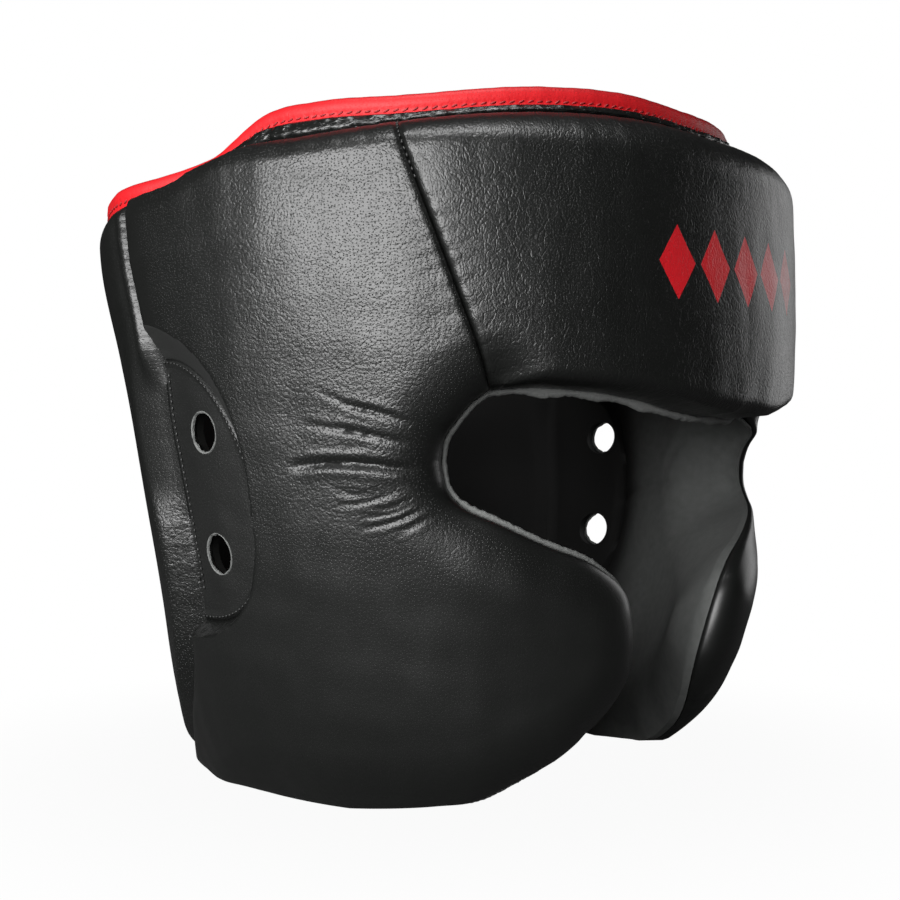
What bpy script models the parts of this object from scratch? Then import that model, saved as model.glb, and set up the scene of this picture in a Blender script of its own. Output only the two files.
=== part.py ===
"""Padded leather boxing head guard, open at the top, with cheek protectors and ear patches.

Metres, +Z up. The face looks toward -Y, the wearer's right is at -X, and the guard rests on Z = 0.
The padded surface is given by an angle round the head (0 at the face, 90 at the wearer's right)
and a height. Each panel is a grid of such points, and its two skins lie at their own depths
below that surface.
"""
import math

import bpy
import numpy as np

# Overall form of the padded surface, measured from the head's axis
HALF_WIDTH = 0.120
FRONT_REACH = 0.121
BACK_REACH = 0.118
RIM_HEIGHT = 0.216
PLAN_SQUARENESS = 2.1

# Pads
PAD_THICKNESS = 0.023
BACK_PAD_THICKNESS = 0.013
EDGE_THICKNESS = 0.0016
SOLE_THICKNESS = 0.008
SEAM_GAP = 0.0004
CHEEK_SEAM_DEPTH = 0.010
EYE_SEAM_DEPTH = 0.014
BROW_SEAM_DEPTH = 0.016
RIM_SEAM_DEPTH = 0.0215
BACK_SEAM_DEPTH = 0.0055
FACE_ROLL = 0.024
BROW_ROLL = 0.011
TOP_ROLL = 0.013
EAR_ROLL = 0.012
BACK_ROLL = 0.009
NAPE_ROLL = 0.008
LINING_ROLL = 0.016
FIRM_ROLL = 2.0
SOFT_ROLL = 1.5
BROW_GROOVE_DEPTH = 0.0012
BROW_GROOVE_WIDTH = 0.004

# Face opening
EYE_LINE = 0.1055
OPENING_ANGLE = 51.0
BROW_RISE = 0.0205
BROW_SEAM_TOP_ANGLE = 57.5
BACK_SLIT = 0.010

# Ear cut-out and holes
EAR_CUT_HEIGHT = 0.082
EAR_CUT_DEPTH = 0.040
EAR_CUT_CENTRE = 0.0965
EAR_HOLE_DIAMETER = 0.013
EAR_HOLE_ANGLE = 95.5
EAR_HOLE_HEIGHTS = (0.077, 0.1144)

# Lining, bindings, collar and strap
LINING_THICKNESS = 0.0025
LINING_GAP = 0.00045
BINDING_HEIGHT = 0.0065
BINDING_LEATHER = 0.0013
BINDING_CLEARANCE = 0.0004
SEAT_GAP = 0.0004
COLLAR_HEIGHT = 0.0055
COLLAR_WIDTH = 0.006
COLLAR_END_ANGLE = 95.0
STRAP_HEIGHT = 0.038
STRAP_CENTRE = 0.107
STRAP_END_ANGLE = 152.0
STRAP_THICKNESS = 0.0025

# Sections of the padded surface: shares of the rim height, half width, front and back reach
SECTIONS = (
    # height, width, front, back
    (0.000, 0.650, 0.785, 0.760),
    (0.095, 0.763, 0.828, 0.761),
    (0.275, 0.868, 0.881, 0.752),
    (0.488, 0.940, 0.953, 0.808),
    (0.650, 0.975, 0.980, 0.888),
    (0.780, 0.997, 0.986, 0.983),
    (1.000, 0.990, 0.976, 0.985),
)
# Top rim: share of the rim height, and how much collar shows under the binding
RIM = (
    # angle, height, collar
    (0.0, 0.992, 0.78),
    (18.0, 1.000, 0.85),
    (36.0, 0.997, 0.78),
    (57.5, 0.982, 0.90),
    (72.0, 0.979, 1.20),
    (84.0, 0.969, 1.20),
    (96.0, 0.940, 0.70),
    (108.0, 0.907, 0.00),
    (120.0, 0.893, 0.00),
    (180.0, 0.889, 0.00),
)
# Seam behind the ear, from the floor to the rim
BACK_SEAM = (
    # share of the rim height, angle
    (0.000, 131.0),
    (0.069, 121.0),
    (0.134, 112.8),
    (0.194, 107.0),
    (0.278, 104.0),
    (0.417, 103.7),
    (0.556, 105.3),
    (0.690, 105.3),
    (0.778, 107.8),
    (0.880, 110.5),
)
# Bottom edge of the cheek pad, from the nape forward, as shares of the opening angle and eye line
CHIN_EDGE = (
    # angle, height
    (1.412, 0.000),
    (1.176, 0.007),
    (1.020, 0.021),
    (0.863, 0.057),
    (0.725, 0.104),
    (0.588, 0.161),
    (0.480, 0.227),
)
# Front edge of the cheek pad, from the chin up to the corner of the eye
CHEEK_EDGE = (
    # angle, height
    (0.480, 0.227),
    (0.392, 0.294),
    (0.333, 0.360),
    (0.314, 0.427),
    (0.325, 0.535),
    (0.372, 0.640),
    (0.498, 0.720),
    (0.663, 0.773),
    (0.830, 0.838),
    (0.922, 0.874),
    (0.980, 0.925),
    (1.000, 1.000),
)
# Upper edge of the opening above the eye line, as shares of the opening angle and the brow's rise
EYE_CORNER_EDGE = (
    # angle, rise
    (1.000, 0.00),
    (0.988, 0.33),
    (0.953, 0.57),
    (0.908, 0.82),
    (0.855, 1.00),
)
BROW_EDGE = (
    # angle, rise
    (0.855, 1.00),
    (0.745, 1.04),
    (0.578, 1.02),
    (0.382, 0.94),
    (0.157, 0.76),
    (0.000, 0.68),
)

# Grid of the panels: shares along the back pad, the ear, the side, the brow, and up the rows
BACK_COLUMNS = (0.0, 0.05, 0.16, 0.38, 0.62, 0.84, 0.95, 1.0)
EAR_COLUMNS = (0.0, 0.14, 0.5, 1.0)
SIDE_COLUMNS = (0.0, 0.04, 0.12, 0.26, 0.44, 0.62, 0.78, 0.9, 0.97, 1.0)
BROW_COLUMNS = (0.0, 0.07, 0.2, 0.36, 0.52, 0.68, 0.84, 1.0)
LOW_ROWS = (0.28, 0.5, 0.75, 0.92, 1.0)
EAR_ROWS = (0.0, 0.14, 0.32, 0.5, 0.68, 0.86, 1.0)
TOP_ROWS = (0.0, 0.05, 0.15, 0.36, 0.64, 0.85, 0.95, 1.0)
FACE_SPLIT = 0.36
CHIN_EAR_SHARE = 0.17
TOP_EAR_SHARE = 0.25
LOWER_CORNER = 0.794
UPPER_CORNER = 0.707
LOWER_SQUARENESS = 3.0
UPPER_SQUARENESS = 2.0

# Where one seam depth turns into the next: angles, or shares of a named size
BACK_FADE_ANGLES = (100.0, 118.0)
RIM_FADE_ANGLES = (95.0, 117.0)
RIM_FADE_SHARES = (0.66, 0.90)
BROW_FADE_SHARE = 0.75
EYE_FADE_SHARE = 0.20
SOLE_FADE_ANGLES = (110.0, 122.0)
NAPE_FADE_ANGLES = (88.0, 112.0)

# Fineness
LINE_STEPS = 49
STRAP_COLUMNS = 13
HOLE_SIDES = 16
SHARP_ANGLE = 50.0
TOUCHING = 1e-6

# Small shapes, as shares
MEAN_REACH_SHARE = 0.93
BINDING_BEVEL_SHARE = 0.7
COLLAR_BEVEL_SHARE = 0.3
SLIT_FALL_POWER = 4

# Derived places
METRES_PER_DEGREE = math.radians(1.0) * (HALF_WIDTH + FRONT_REACH) / 2.0 * MEAN_REACH_SHARE
SLIT_ANGLE = 180.0 - math.degrees(BACK_SLIT / 2.0 / BACK_REACH)
BINDING_SEAT = BINDING_HEIGHT + SEAT_GAP
LINING_FOOT = BINDING_LEATHER + BINDING_CLEARANCE

LEATHER_BLACK = (0.017, 0.018, 0.017, 1.0)
LEATHER_RED = (0.60, 0.012, 0.016, 1.0)
SUEDE_GREY = (0.045, 0.047, 0.046, 1.0)


def table(rows, x, column):
    """Smooth value of one column of a table at x, which is the first column."""
    keys = np.array([row[0] for row in rows])
    values = np.array([row[column] for row in rows])
    slopes = np.gradient(values, keys)
    x = np.clip(x, keys[0], keys[-1])
    i = np.clip(np.searchsorted(keys, x, side="right") - 1, 0, len(keys) - 2)
    width = keys[i + 1] - keys[i]
    t = (x - keys[i]) / width
    low = values[i] * (1 + 2 * t) * (1 - t) ** 2 + slopes[i] * width * t * (1 - t) ** 2
    high = values[i + 1] * t ** 2 * (3 - 2 * t) + slopes[i + 1] * width * t ** 2 * (t - 1)
    return low + high


def centring_shift():
    """Move along Y that brings the middle of the guard's length over the origin."""
    shares = np.linspace(0.0, 1.0, LINE_STEPS)
    ahead = FRONT_REACH * table(SECTIONS, shares, 2).max()
    behind = BACK_REACH * table(SECTIONS, shares, 3).max()
    return (ahead - behind) / 2.0


PLAN_SHIFT = centring_shift()


def step(x, start, end):
    """Smooth step from 0 at start to 1 at end."""
    t = np.clip((x - start) / (end - start), 0.0, 1.0)
    return t * t * (3.0 - 2.0 * t)


def surface_point(points, depth):
    """Points at a depth below the padded surface, from an array of angles and heights."""
    angle = np.radians(points[..., 0])
    share = points[..., 1] / RIM_HEIGHT
    across = np.sin(angle)
    ahead = np.cos(angle)
    half_width = HALF_WIDTH * table(SECTIONS, share, 1) - depth
    front = FRONT_REACH * table(SECTIONS, share, 2) - depth
    back = BACK_REACH * table(SECTIONS, share, 3) - depth
    reach = np.where(ahead > 0.0, front, back)
    power = PLAN_SQUARENESS
    radius = (np.abs(across / half_width) ** power + np.abs(ahead / reach) ** power) ** (-1.0 / power)
    return np.stack([-radius * across, -radius * ahead + PLAN_SHIFT, points[..., 1] + 0.0 * radius], axis=-1)


def flat(points):
    """Angles and heights laid out flat, in metres."""
    return points * np.array([METRES_PER_DEGREE, 1.0])


def lengths(points):
    """Share of its length at which each point of a line lies."""
    run = np.linalg.norm(np.diff(flat(points), axis=0), axis=1)
    total = np.concatenate([[0.0], np.cumsum(run)])
    return total / total[-1]


def along(points, shares):
    """Points of a line at shares of its length."""
    place = lengths(points)
    return np.stack([np.interp(shares, place, points[:, k]) for k in (0, 1)], axis=-1)


def smooth_line(rows, steps=8):
    """Catmull-Rom line through rows of angle and height."""
    points = np.array(rows, dtype=float)
    padded = np.vstack([2 * points[0] - points[1], points, 2 * points[-1] - points[-2]])
    line = []
    for i in range(1, len(padded) - 2):
        before, start, end, after = padded[i - 1:i + 3]
        for t in np.arange(steps) / steps:
            line.append(0.5 * (2 * start + (end - before) * t
                               + (2 * before - 5 * start + 4 * end - after) * t ** 2
                               + (3 * start - before - 3 * end + after) * t ** 3))
    line.append(points[-1])
    return np.array(line)


def opening_line(rows, base, rise):
    """A stretch of the face opening, from shares of the opening angle and of a height."""
    return smooth_line([(angle * OPENING_ANGLE, base + height * rise) for angle, height in rows])


def back_seam_angle(height):
    return table(BACK_SEAM, height / RIM_HEIGHT, 1)


def rim_height(angle):
    return RIM_HEIGHT * table(RIM, angle, 1)


def pad_top(angle):
    """Top edge of the pads: a collar's height below the binding."""
    return rim_height(angle) - BINDING_SEAT - COLLAR_HEIGHT * np.maximum(table(RIM, angle, 2), 0.0)


def seam_depth(points):
    """Depth of the seams below the padded surface."""
    angle = points[..., 0]
    height = points[..., 1]
    beside = 1.0 - step(np.abs(angle / OPENING_ANGLE - 1.0), 0.0, EYE_FADE_SHARE)
    eye = beside * (1.0 - step(np.abs(height - EYE_LINE), 0.0, EYE_LINE * EYE_FADE_SHARE))
    low = CHEEK_SEAM_DEPTH + (EYE_SEAM_DEPTH - CHEEK_SEAM_DEPTH) * eye
    over_face = 1.0 - step(angle, BROW_FADE_SHARE * OPENING_ANGLE, OPENING_ANGLE)
    brow = over_face * step(height, EYE_LINE, EYE_LINE + BROW_RISE)
    low = low + (BROW_SEAM_DEPTH - low) * brow
    low = low + (BACK_SEAM_DEPTH - low) * step(angle, *BACK_FADE_ANGLES)
    top = RIM_SEAM_DEPTH + (BACK_SEAM_DEPTH - RIM_SEAM_DEPTH) * step(angle, *RIM_FADE_ANGLES)
    return low + (top - low) * step(height / RIM_HEIGHT, *RIM_FADE_SHARES)


def edge_thickness(points):
    """Thickness of a pad at its edge: thin at a seam, wide where the guard stands."""
    ahead = 1.0 - step(points[..., 0], *SOLE_FADE_ANGLES)
    sole = ahead * (1.0 - step(points[..., 1], 0.0, SOLE_THICKNESS))
    return EDGE_THICKNESS + (SOLE_THICKNESS - EDGE_THICKNESS) * sole


def ear_cut_point(turn):
    """Point of the ear cut-out: turn runs from -1 at its lower end to 1 at its upper end."""
    power = np.where(turn < 0.0, LOWER_SQUARENESS, UPPER_SQUARENESS)
    reach = (1.0 - np.abs(turn) ** power) ** (1.0 / power)
    height = EAR_CUT_CENTRE + turn * EAR_CUT_HEIGHT / 2.0
    return np.stack([back_seam_angle(height) - reach * EAR_CUT_DEPTH / METRES_PER_DEGREE, height], axis=-1)


def ear_cut_line(start, end):
    """Stretch of the ear cut-out between two turns, in even steps of angle."""
    phase = np.linspace(math.asin(start), math.asin(end), LINE_STEPS)
    return ear_cut_point(np.sin(phase))


def seam_line(start, end):
    """Stretch of the seam behind the ear between two heights."""
    height = np.linspace(start, end, LINE_STEPS)
    return np.stack([back_seam_angle(height), height], axis=-1)


def level_line(start, end, height):
    """Line from one angle to another at the height that a function gives."""
    angle = np.linspace(start, end, LINE_STEPS)
    return np.stack([angle, height(angle)], axis=-1)


def split_shares(first, second, split):
    """Shares of two stretches in a row, the first of which takes the split."""
    return [share * split for share in first] + [split + share * (1.0 - split) for share in second[1:]]


def patch(bottom, top, left, right):
    """Grid of points that fills four sides (rows from bottom to top, columns from left to right)."""
    u = ((lengths(bottom) + lengths(top)) / 2.0)[None, :, None]
    v = ((lengths(left) + lengths(right)) / 2.0)[:, None, None]
    ruled = (1 - v) * bottom[None] + v * top[None] + (1 - u) * left[:, None] + u * right[:, None]
    corners = ((1 - u) * (1 - v) * bottom[0] + u * (1 - v) * bottom[-1]
               + (1 - u) * v * top[0] + u * v * top[-1])
    return ruled - corners


def seam_top():
    """Angle and height at which the seam behind the ear meets the pads' top edge."""
    height = RIM_HEIGHT * BACK_SEAM[-1][0]
    for _ in range(20):
        height = float(pad_top(back_seam_angle(height)))
    return float(back_seam_angle(height)), height


def outlines():
    """The lines that bound the panels of the wearer's right half."""
    top_angle, top_height = seam_top()
    brow_start = np.array([BROW_EDGE[0][0] * OPENING_ANGLE, EYE_LINE + BROW_RISE])
    brow_end = np.array([BROW_SEAM_TOP_ANGLE, float(pad_top(BROW_SEAM_TOP_ANGLE))])
    low, high = (EAR_CUT_CENTRE + side * EAR_CUT_HEIGHT / 2.0 for side in (-1.0, 1.0))
    corner_start = -(1.0 - LOWER_CORNER ** LOWER_SQUARENESS) ** (1.0 / LOWER_SQUARENESS)
    corner_end = (1.0 - UPPER_CORNER ** UPPER_SQUARENESS) ** (1.0 / UPPER_SQUARENESS)
    chin = opening_line(CHIN_EDGE, 0.0, EYE_LINE)
    nape = level_line(float(back_seam_angle(0.0)), chin[0][0], np.zeros_like)
    cheek = opening_line(CHEEK_EDGE, 0.0, EYE_LINE)
    corner = opening_line(EYE_CORNER_EDGE, EYE_LINE, BROW_RISE)
    brow = opening_line(BROW_EDGE, EYE_LINE, BROW_RISE)
    face = np.vstack([cheek, corner[1:]])
    split = along(face, [FACE_SPLIT])[0]
    return {
        "floor": level_line(SLIT_ANGLE, float(back_seam_angle(0.0)), np.zeros_like),
        "chin": np.vstack([nape[:-1], chin]),
        "face": face,
        "brow": brow,
        "centre": np.linspace(brow[-1], [0.0, float(pad_top(0.0))], LINE_STEPS),
        "brow_seam": np.linspace(brow_start, brow_end, LINE_STEPS),
        "side_top": level_line(top_angle, BROW_SEAM_TOP_ANGLE, pad_top),
        "brow_top": level_line(BROW_SEAM_TOP_ANGLE, 0.0, pad_top),
        "back_top": level_line(SLIT_ANGLE, top_angle, pad_top),
        "low_seam": seam_line(0.0, low),
        "ear_seam": seam_line(low, high),
        "top_seam": seam_line(high, top_height),
        "ear_low": ear_cut_line(-1.0, corner_start),
        "ear_front": ear_cut_line(corner_start, corner_end),
        "ear_top": ear_cut_line(corner_end, 1.0)[::-1],
        "low_link": np.linspace(ear_cut_point(np.array(corner_start)), split, LINE_STEPS),
        "high_link": np.linspace(ear_cut_point(np.array(corner_end)), brow_start, LINE_STEPS),
    }


def panel_grids(lines):
    """Grids of the right half's panels, rows upwards and columns forwards."""
    side_columns = split_shares(EAR_COLUMNS, SIDE_COLUMNS, CHIN_EAR_SHARE)
    top_columns = split_shares(EAR_COLUMNS, SIDE_COLUMNS, TOP_EAR_SHARE)
    seat_share = float(np.interp(BINDING_SEAT, lines["low_seam"][:, 1], lengths(lines["low_seam"])))
    low_rows = [0.0, seat_share, *LOW_ROWS]
    low_face = [share * FACE_SPLIT for share in low_rows]
    high_face = [FACE_SPLIT + share * (1.0 - FACE_SPLIT) for share in EAR_ROWS]
    ear_low = along(lines["ear_low"], EAR_COLUMNS)
    ear_top = along(lines["ear_top"], EAR_COLUMNS)
    low_link = along(lines["low_link"], SIDE_COLUMNS)
    high_link = along(lines["high_link"], SIDE_COLUMNS)
    low_seam = along(lines["low_seam"], low_rows)
    ear_seam = along(lines["ear_seam"], EAR_ROWS)
    top_seam = along(lines["top_seam"], TOP_ROWS)
    ear_front = along(lines["ear_front"], EAR_ROWS)
    brow_seam = along(lines["brow_seam"], TOP_ROWS)
    seam = np.vstack([low_seam, ear_seam[1:], top_seam[1:]])
    fall = (lines["back_top"][0, 1] - seam[-1, 1]) * (seam[:, 1] / seam[-1, 1]) ** SLIT_FALL_POWER
    slit = np.stack([np.full(len(seam), SLIT_ANGLE), seam[:, 1] + fall], axis=-1)
    return {
        "back": patch(along(lines["floor"], BACK_COLUMNS), along(lines["back_top"], BACK_COLUMNS), slit, seam),
        "ear": patch(ear_low, ear_top, ear_seam, ear_front),
        "side_low": patch(along(lines["chin"], side_columns), np.vstack([ear_low, low_link[1:]]),
                          low_seam, along(lines["face"], low_face)),
        "side_middle": patch(low_link, high_link, ear_front, along(lines["face"], high_face)),
        "side_top": patch(np.vstack([ear_top, high_link[1:]]), along(lines["side_top"], top_columns),
                          top_seam, brow_seam),
        "brow": patch(along(lines["brow"], BROW_COLUMNS), along(lines["brow_top"], BROW_COLUMNS),
                      brow_seam, along(lines["centre"], TOP_ROWS)),
    }


def distance(points, line):
    """Distance from each point to a line, laid out flat."""
    start = flat(line)[:-1]
    run = flat(line)[1:] - start
    gap = flat(points)[:, None, :] - start[None]
    share = np.clip((gap * run).sum(-1) / np.maximum((run * run).sum(-1), 1e-18), 0.0, 1.0)
    return np.linalg.norm(gap - share[..., None] * run[None], axis=-1).min(axis=1)


def roll(gap, width, power=FIRM_ROLL):
    """1 at an edge, falling to 0 at the roll's width, as a quarter circle where the power is 2."""
    rest = 1.0 - np.clip(gap / width, 0.0, 1.0)
    return 1.0 - (1.0 - rest ** power) ** (1.0 / power)


def taper(gap, width):
    """1 at an edge, falling to 0 at the taper's width along a sine."""
    return 1.0 - np.sin(np.clip(gap / width, 0.0, 1.0) * math.pi / 2.0)


def front_depths(points, lines):
    """Depths of the outer and inner skins of the brow and side pads."""
    face = distance(points, lines["face"])
    brow = distance(points, lines["brow"])
    chin = distance(points, lines["chin"])
    top = distance(points, np.vstack([lines["side_top"], lines["brow_top"][1:]]))
    cut = distance(points, np.vstack([lines["ear_low"], lines["ear_front"][1:], lines["ear_top"][::-1][1:]]))
    seam = np.minimum(distance(points, lines["low_seam"]), distance(points, lines["top_seam"]))
    chin_roll = FACE_ROLL + (NAPE_ROLL - FACE_ROLL) * step(points[:, 0], *NAPE_FADE_ANGLES)
    outer = np.max([roll(face, FACE_ROLL, SOFT_ROLL), roll(chin, chin_roll, SOFT_ROLL),
                    roll(brow, BROW_ROLL), roll(top, TOP_ROLL), roll(cut, EAR_ROLL),
                    roll(seam, BACK_ROLL)], axis=0)
    inner = np.max([taper(gap, LINING_ROLL) for gap in (face, brow, chin, top, cut, seam)], axis=0)
    depth = seam_depth(points)
    half_edge = edge_thickness(points) / 2.0
    groove = BROW_GROOVE_DEPTH * roll(distance(points, lines["brow_seam"]), BROW_GROOVE_WIDTH)
    outside = np.minimum((depth - half_edge) * outer + groove, depth - half_edge)
    return outside, PAD_THICKNESS - (PAD_THICKNESS - depth - half_edge) * inner


def back_depths(points, lines):
    """Depths of the outer and inner skins of a back pad."""
    seam = distance(points, np.vstack([lines["low_seam"], lines["ear_seam"][1:], lines["top_seam"][1:]]))
    top = distance(points, lines["back_top"])
    foot = np.maximum(points[:, 1] - BINDING_SEAT, 0.0)
    slit = (SLIT_ANGLE - points[:, 0]) * METRES_PER_DEGREE
    outer = np.max([roll(gap, BACK_ROLL) for gap in (seam, top, foot, slit)], axis=0)
    inner = np.max([taper(gap, BACK_ROLL) for gap in (seam, top, foot, slit)], axis=0)
    depth = seam_depth(points)
    half_edge = edge_thickness(points) / 2.0
    inside = BACK_PAD_THICKNESS - (BACK_PAD_THICKNESS - depth - half_edge) * inner
    return (depth - half_edge) * outer, inside


def seam_depths(points, lines):
    """Depths of the two faces of leather that lies at the seams' depth."""
    depth = seam_depth(points)
    half_edge = edge_thickness(points) / 2.0
    return depth - half_edge, depth + half_edge


def joined(grids):
    """One sheet from grids that share sides: its points, its faces and each point's first grid."""
    index = {}
    points = []
    faces = []
    owner = []
    for number, grid in enumerate(grids):
        rows, columns = grid.shape[:2]
        ids = np.zeros((rows, columns), dtype=int)
        for j in range(rows):
            for i in range(columns):
                key = tuple(np.round(flat(grid[j, i]) * 1e5).astype(int))
                if key not in index:
                    index[key] = len(points)
                    points.append(grid[j, i])
                    owner.append(number)
                ids[j, i] = index[key]
        for j in range(rows - 1):
            for i in range(columns - 1):
                low, low_next, high_next, high = ids[j, i], ids[j, i + 1], ids[j + 1, i + 1], ids[j + 1, i]
                for face in ([low, low_next, high_next], [low, high_next, high]):
                    if len(set(face)) == 3:
                        faces.append(face)
    return np.array(points), faces, np.array(owner)


def rim_edges(faces):
    """Directed edges of a sheet that have no face on their other side."""
    edges = {(face[k - 1], face[k]) for face in faces for k in range(len(face))}
    return [edge for edge in sorted(edges) if (edge[1], edge[0]) not in edges]


def drawn_in(points, faces, gap):
    """Points with the sheet's rim drawn inwards by a gap, as a seam allowance does."""
    spots = flat(points)
    inward = np.zeros_like(spots)
    rim = {corner for edge in rim_edges(faces) for corner in edge}
    for face in faces:
        middle = spots[face].mean(axis=0)
        for corner in rim.intersection(face):
            inward[corner] += (middle - spots[corner]) / np.linalg.norm(middle - spots[corner])
    size = np.maximum(np.linalg.norm(inward, axis=1, keepdims=True), 1e-9)
    moved = spots + inward / size * gap * (size > TOUCHING)
    return moved / np.array([METRES_PER_DEGREE, 1.0])


def leather(name, colour, roughness):
    """Material of one node."""
    material = bpy.data.materials.new(name)
    material.use_nodes = True
    shader = material.node_tree.nodes["Principled BSDF"]
    shader.inputs["Base Color"].default_value = colour
    shader.inputs["Roughness"].default_value = roughness
    shader.inputs["Metallic"].default_value = 0.0
    return material


def add_object(name, vertices, faces, colour, roughness):
    """Object of the guard from vertices and faces."""
    mesh = bpy.data.meshes.new(name)
    mesh.from_pydata([tuple(vertex) for vertex in vertices], [], [tuple(face) for face in faces])
    mesh.materials.append(leather(name, colour, roughness))
    mesh.shade_smooth()
    mesh.set_sharp_from_angle(angle=math.radians(SHARP_ANGLE))
    piece = bpy.data.objects.new(name, mesh)
    bpy.data.collections["boxing_head_guard"].objects.link(piece)
    return piece


def mirrored(vertices, faces):
    """The wearer's left half of a right half."""
    return vertices * np.array([-1.0, 1.0, 1.0]), [face[::-1] for face in faces]


def add_pair(name, vertices, faces, colour, roughness):
    """The right and the left object of a piece that comes in a pair."""
    right = add_object(name + "_right", vertices, faces, colour, roughness)
    left = add_object(name + "_left", *mirrored(vertices, faces), colour, roughness)
    return right, left


def mirror_across(piece):
    """Close a half that is open at the middle plane."""
    points = np.zeros(3 * len(piece.data.vertices))
    piece.data.vertices.foreach_get("co", points)
    points[0::3] = np.where(np.abs(points[0::3]) < TOUCHING, 0.0, points[0::3])
    piece.data.vertices.foreach_set("co", points)
    modifier = piece.modifiers.new("left half", "MIRROR")
    modifier.use_axis = (True, False, False)
    modifier.use_clip = True
    modifier.merge_threshold = 0.00005


def two_skins(points, faces, outer, inner, open_middle=False):
    """Closed solid between two skins of a sheet, given their depths."""
    count = len(points)
    vertices = np.vstack([surface_point(points, outer), surface_point(points, inner)])
    solid = [list(face) for face in faces]
    solid += [[corner + count for corner in reversed(face)] for face in faces]
    for start, end in rim_edges(faces):
        if open_middle and abs(points[start][0]) < TOUCHING and abs(points[end][0]) < TOUCHING:
            continue
        solid.append([end, start, start + count, end + count])
    return vertices, solid


def add_pads(grids, lines):
    """Brow pad, side pads and back pads."""
    points, faces, _ = joined([grids["brow"]])
    outer, inner = front_depths(points, lines)
    seated = drawn_in(points, faces, SEAM_GAP / 2.0)
    seated[:, 0] = np.where(points[:, 0] < TOUCHING, 0.0, seated[:, 0])
    brow = add_object("forehead_pad", *two_skins(seated, faces, outer, inner, open_middle=True),
                      LEATHER_BLACK, 0.42)
    mirror_across(brow)
    points, faces, _ = joined([grids["side_low"], grids["side_middle"], grids["side_top"]])
    outer, inner = front_depths(points, lines)
    seated = drawn_in(points, faces, SEAM_GAP / 2.0)
    seated[:, 1] = np.maximum(seated[:, 1], 0.0)
    seated[:, 1] = np.where(points[:, 1] < TOUCHING, 0.0, seated[:, 1])
    add_pair("side_pad", *two_skins(seated, faces, outer, inner), LEATHER_BLACK, 0.38)
    points, faces, _ = joined([grids["back"][1:]])
    points[:, 1] = np.maximum(points[:, 1], BINDING_SEAT)
    outer, inner = back_depths(points, lines)
    seated = drawn_in(points, faces, SEAM_GAP / 2.0)
    add_pair("back_pad", *two_skins(seated, faces, outer, inner), LEATHER_BLACK, 0.30)


def add_hole_cutters():
    """Cylinders that cut the ear holes on both sides."""
    cutters = {"right": [], "left": []}
    for side, sign in (("right", 1.0), ("left", -1.0)):
        for number, height in enumerate(EAR_HOLE_HEIGHTS):
            place = surface_point(np.array([EAR_HOLE_ANGLE, height]), CHEEK_SEAM_DEPTH)
            bpy.ops.mesh.primitive_cylinder_add(
                vertices=HOLE_SIDES, radius=EAR_HOLE_DIAMETER / 2.0, depth=2.0 * PAD_THICKNESS,
                location=(sign * place[0], place[1], place[2]), rotation=(0.0, math.pi / 2.0, 0.0))
            cutter = bpy.context.active_object
            cutter.name = "ear_hole_cutter_%s_%d" % (side, number)
            cutter.hide_render = True
            cutter.display_type = "WIRE"
            for collection in cutter.users_collection:
                collection.objects.unlink(cutter)
            bpy.data.collections["cutters"].objects.link(cutter)
            cutters[side].append(cutter)
    return cutters


def cut(piece, cutter):
    modifier = piece.modifiers.new(cutter.name, "BOOLEAN")
    modifier.operation = "DIFFERENCE"
    modifier.solver = "EXACT"
    modifier.object = cutter


def add_ear_patches(grids, cutters):
    """Thin leather patches in the ear cut-outs, each with its two holes."""
    points, faces, _ = joined([grids["ear"]])
    outer, inner = seam_depths(points, None)
    seated = drawn_in(points, faces, SEAM_GAP)
    patches = add_pair("ear_patch", *two_skins(seated, faces, outer, inner), LEATHER_BLACK, 0.40)
    for piece, side in zip(patches, ("right", "left")):
        for cutter in cutters[side]:
            cut(piece, cutter)


def lining_top(angle):
    return rim_height(angle) - LINING_FOOT


def rim_grid(line, columns):
    """Stretch of the lining that stands above a pad's top edge, up into the binding."""
    low = along(line, columns)
    high = np.stack([low[:, 0], lining_top(low[:, 0])], axis=-1)
    return np.stack([low, (low + high) / 2.0, high])


def lining_sheet(grids, lines):
    """Points, faces and outer depth of the lining's right half."""
    top_columns = split_shares(EAR_COLUMNS, SIDE_COLUMNS, TOP_EAR_SHARE)
    rules = [back_depths, front_depths, front_depths, front_depths, front_depths, seam_depths, seam_depths,
             seam_depths, seam_depths]
    points, faces, owner = joined([
        grids["back"], grids["side_low"], grids["side_middle"], grids["side_top"], grids["brow"], grids["ear"],
        rim_grid(lines["back_top"], BACK_COLUMNS), rim_grid(lines["side_top"], top_columns),
        rim_grid(lines["brow_top"], BROW_COLUMNS)])
    depth = np.zeros(len(points))
    for number, rule in enumerate(rules):
        chosen = owner == number
        depth[chosen] = rule(points[chosen], lines)[1] + LINING_GAP
    behind = points[:, 0] > back_seam_angle(0.0) + 0.1
    points[:, 1] = np.where(behind, np.maximum(points[:, 1], LINING_FOOT), points[:, 1])
    return points, faces, depth


def add_lining(grids, lines, cutters):
    """Lining inside all the pads, open at the back slit, with the ear holes cut through."""
    points, faces, depth = lining_sheet(grids, lines)
    solid = two_skins(points, faces, depth, depth + LINING_THICKNESS, open_middle=True)
    lining = add_object("lining", *solid, SUEDE_GREY, 0.85)
    mirror_across(lining)
    for side in ("right", "left"):
        for cutter in cutters[side]:
            cut(lining, cutter)


def lining_depth_at(angle, height):
    """Depth of the lining's outer face where it runs into a binding."""
    points = np.array([[angle, height]])
    return float(seam_depths(points, None)[1][0]) + LINING_GAP


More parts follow.
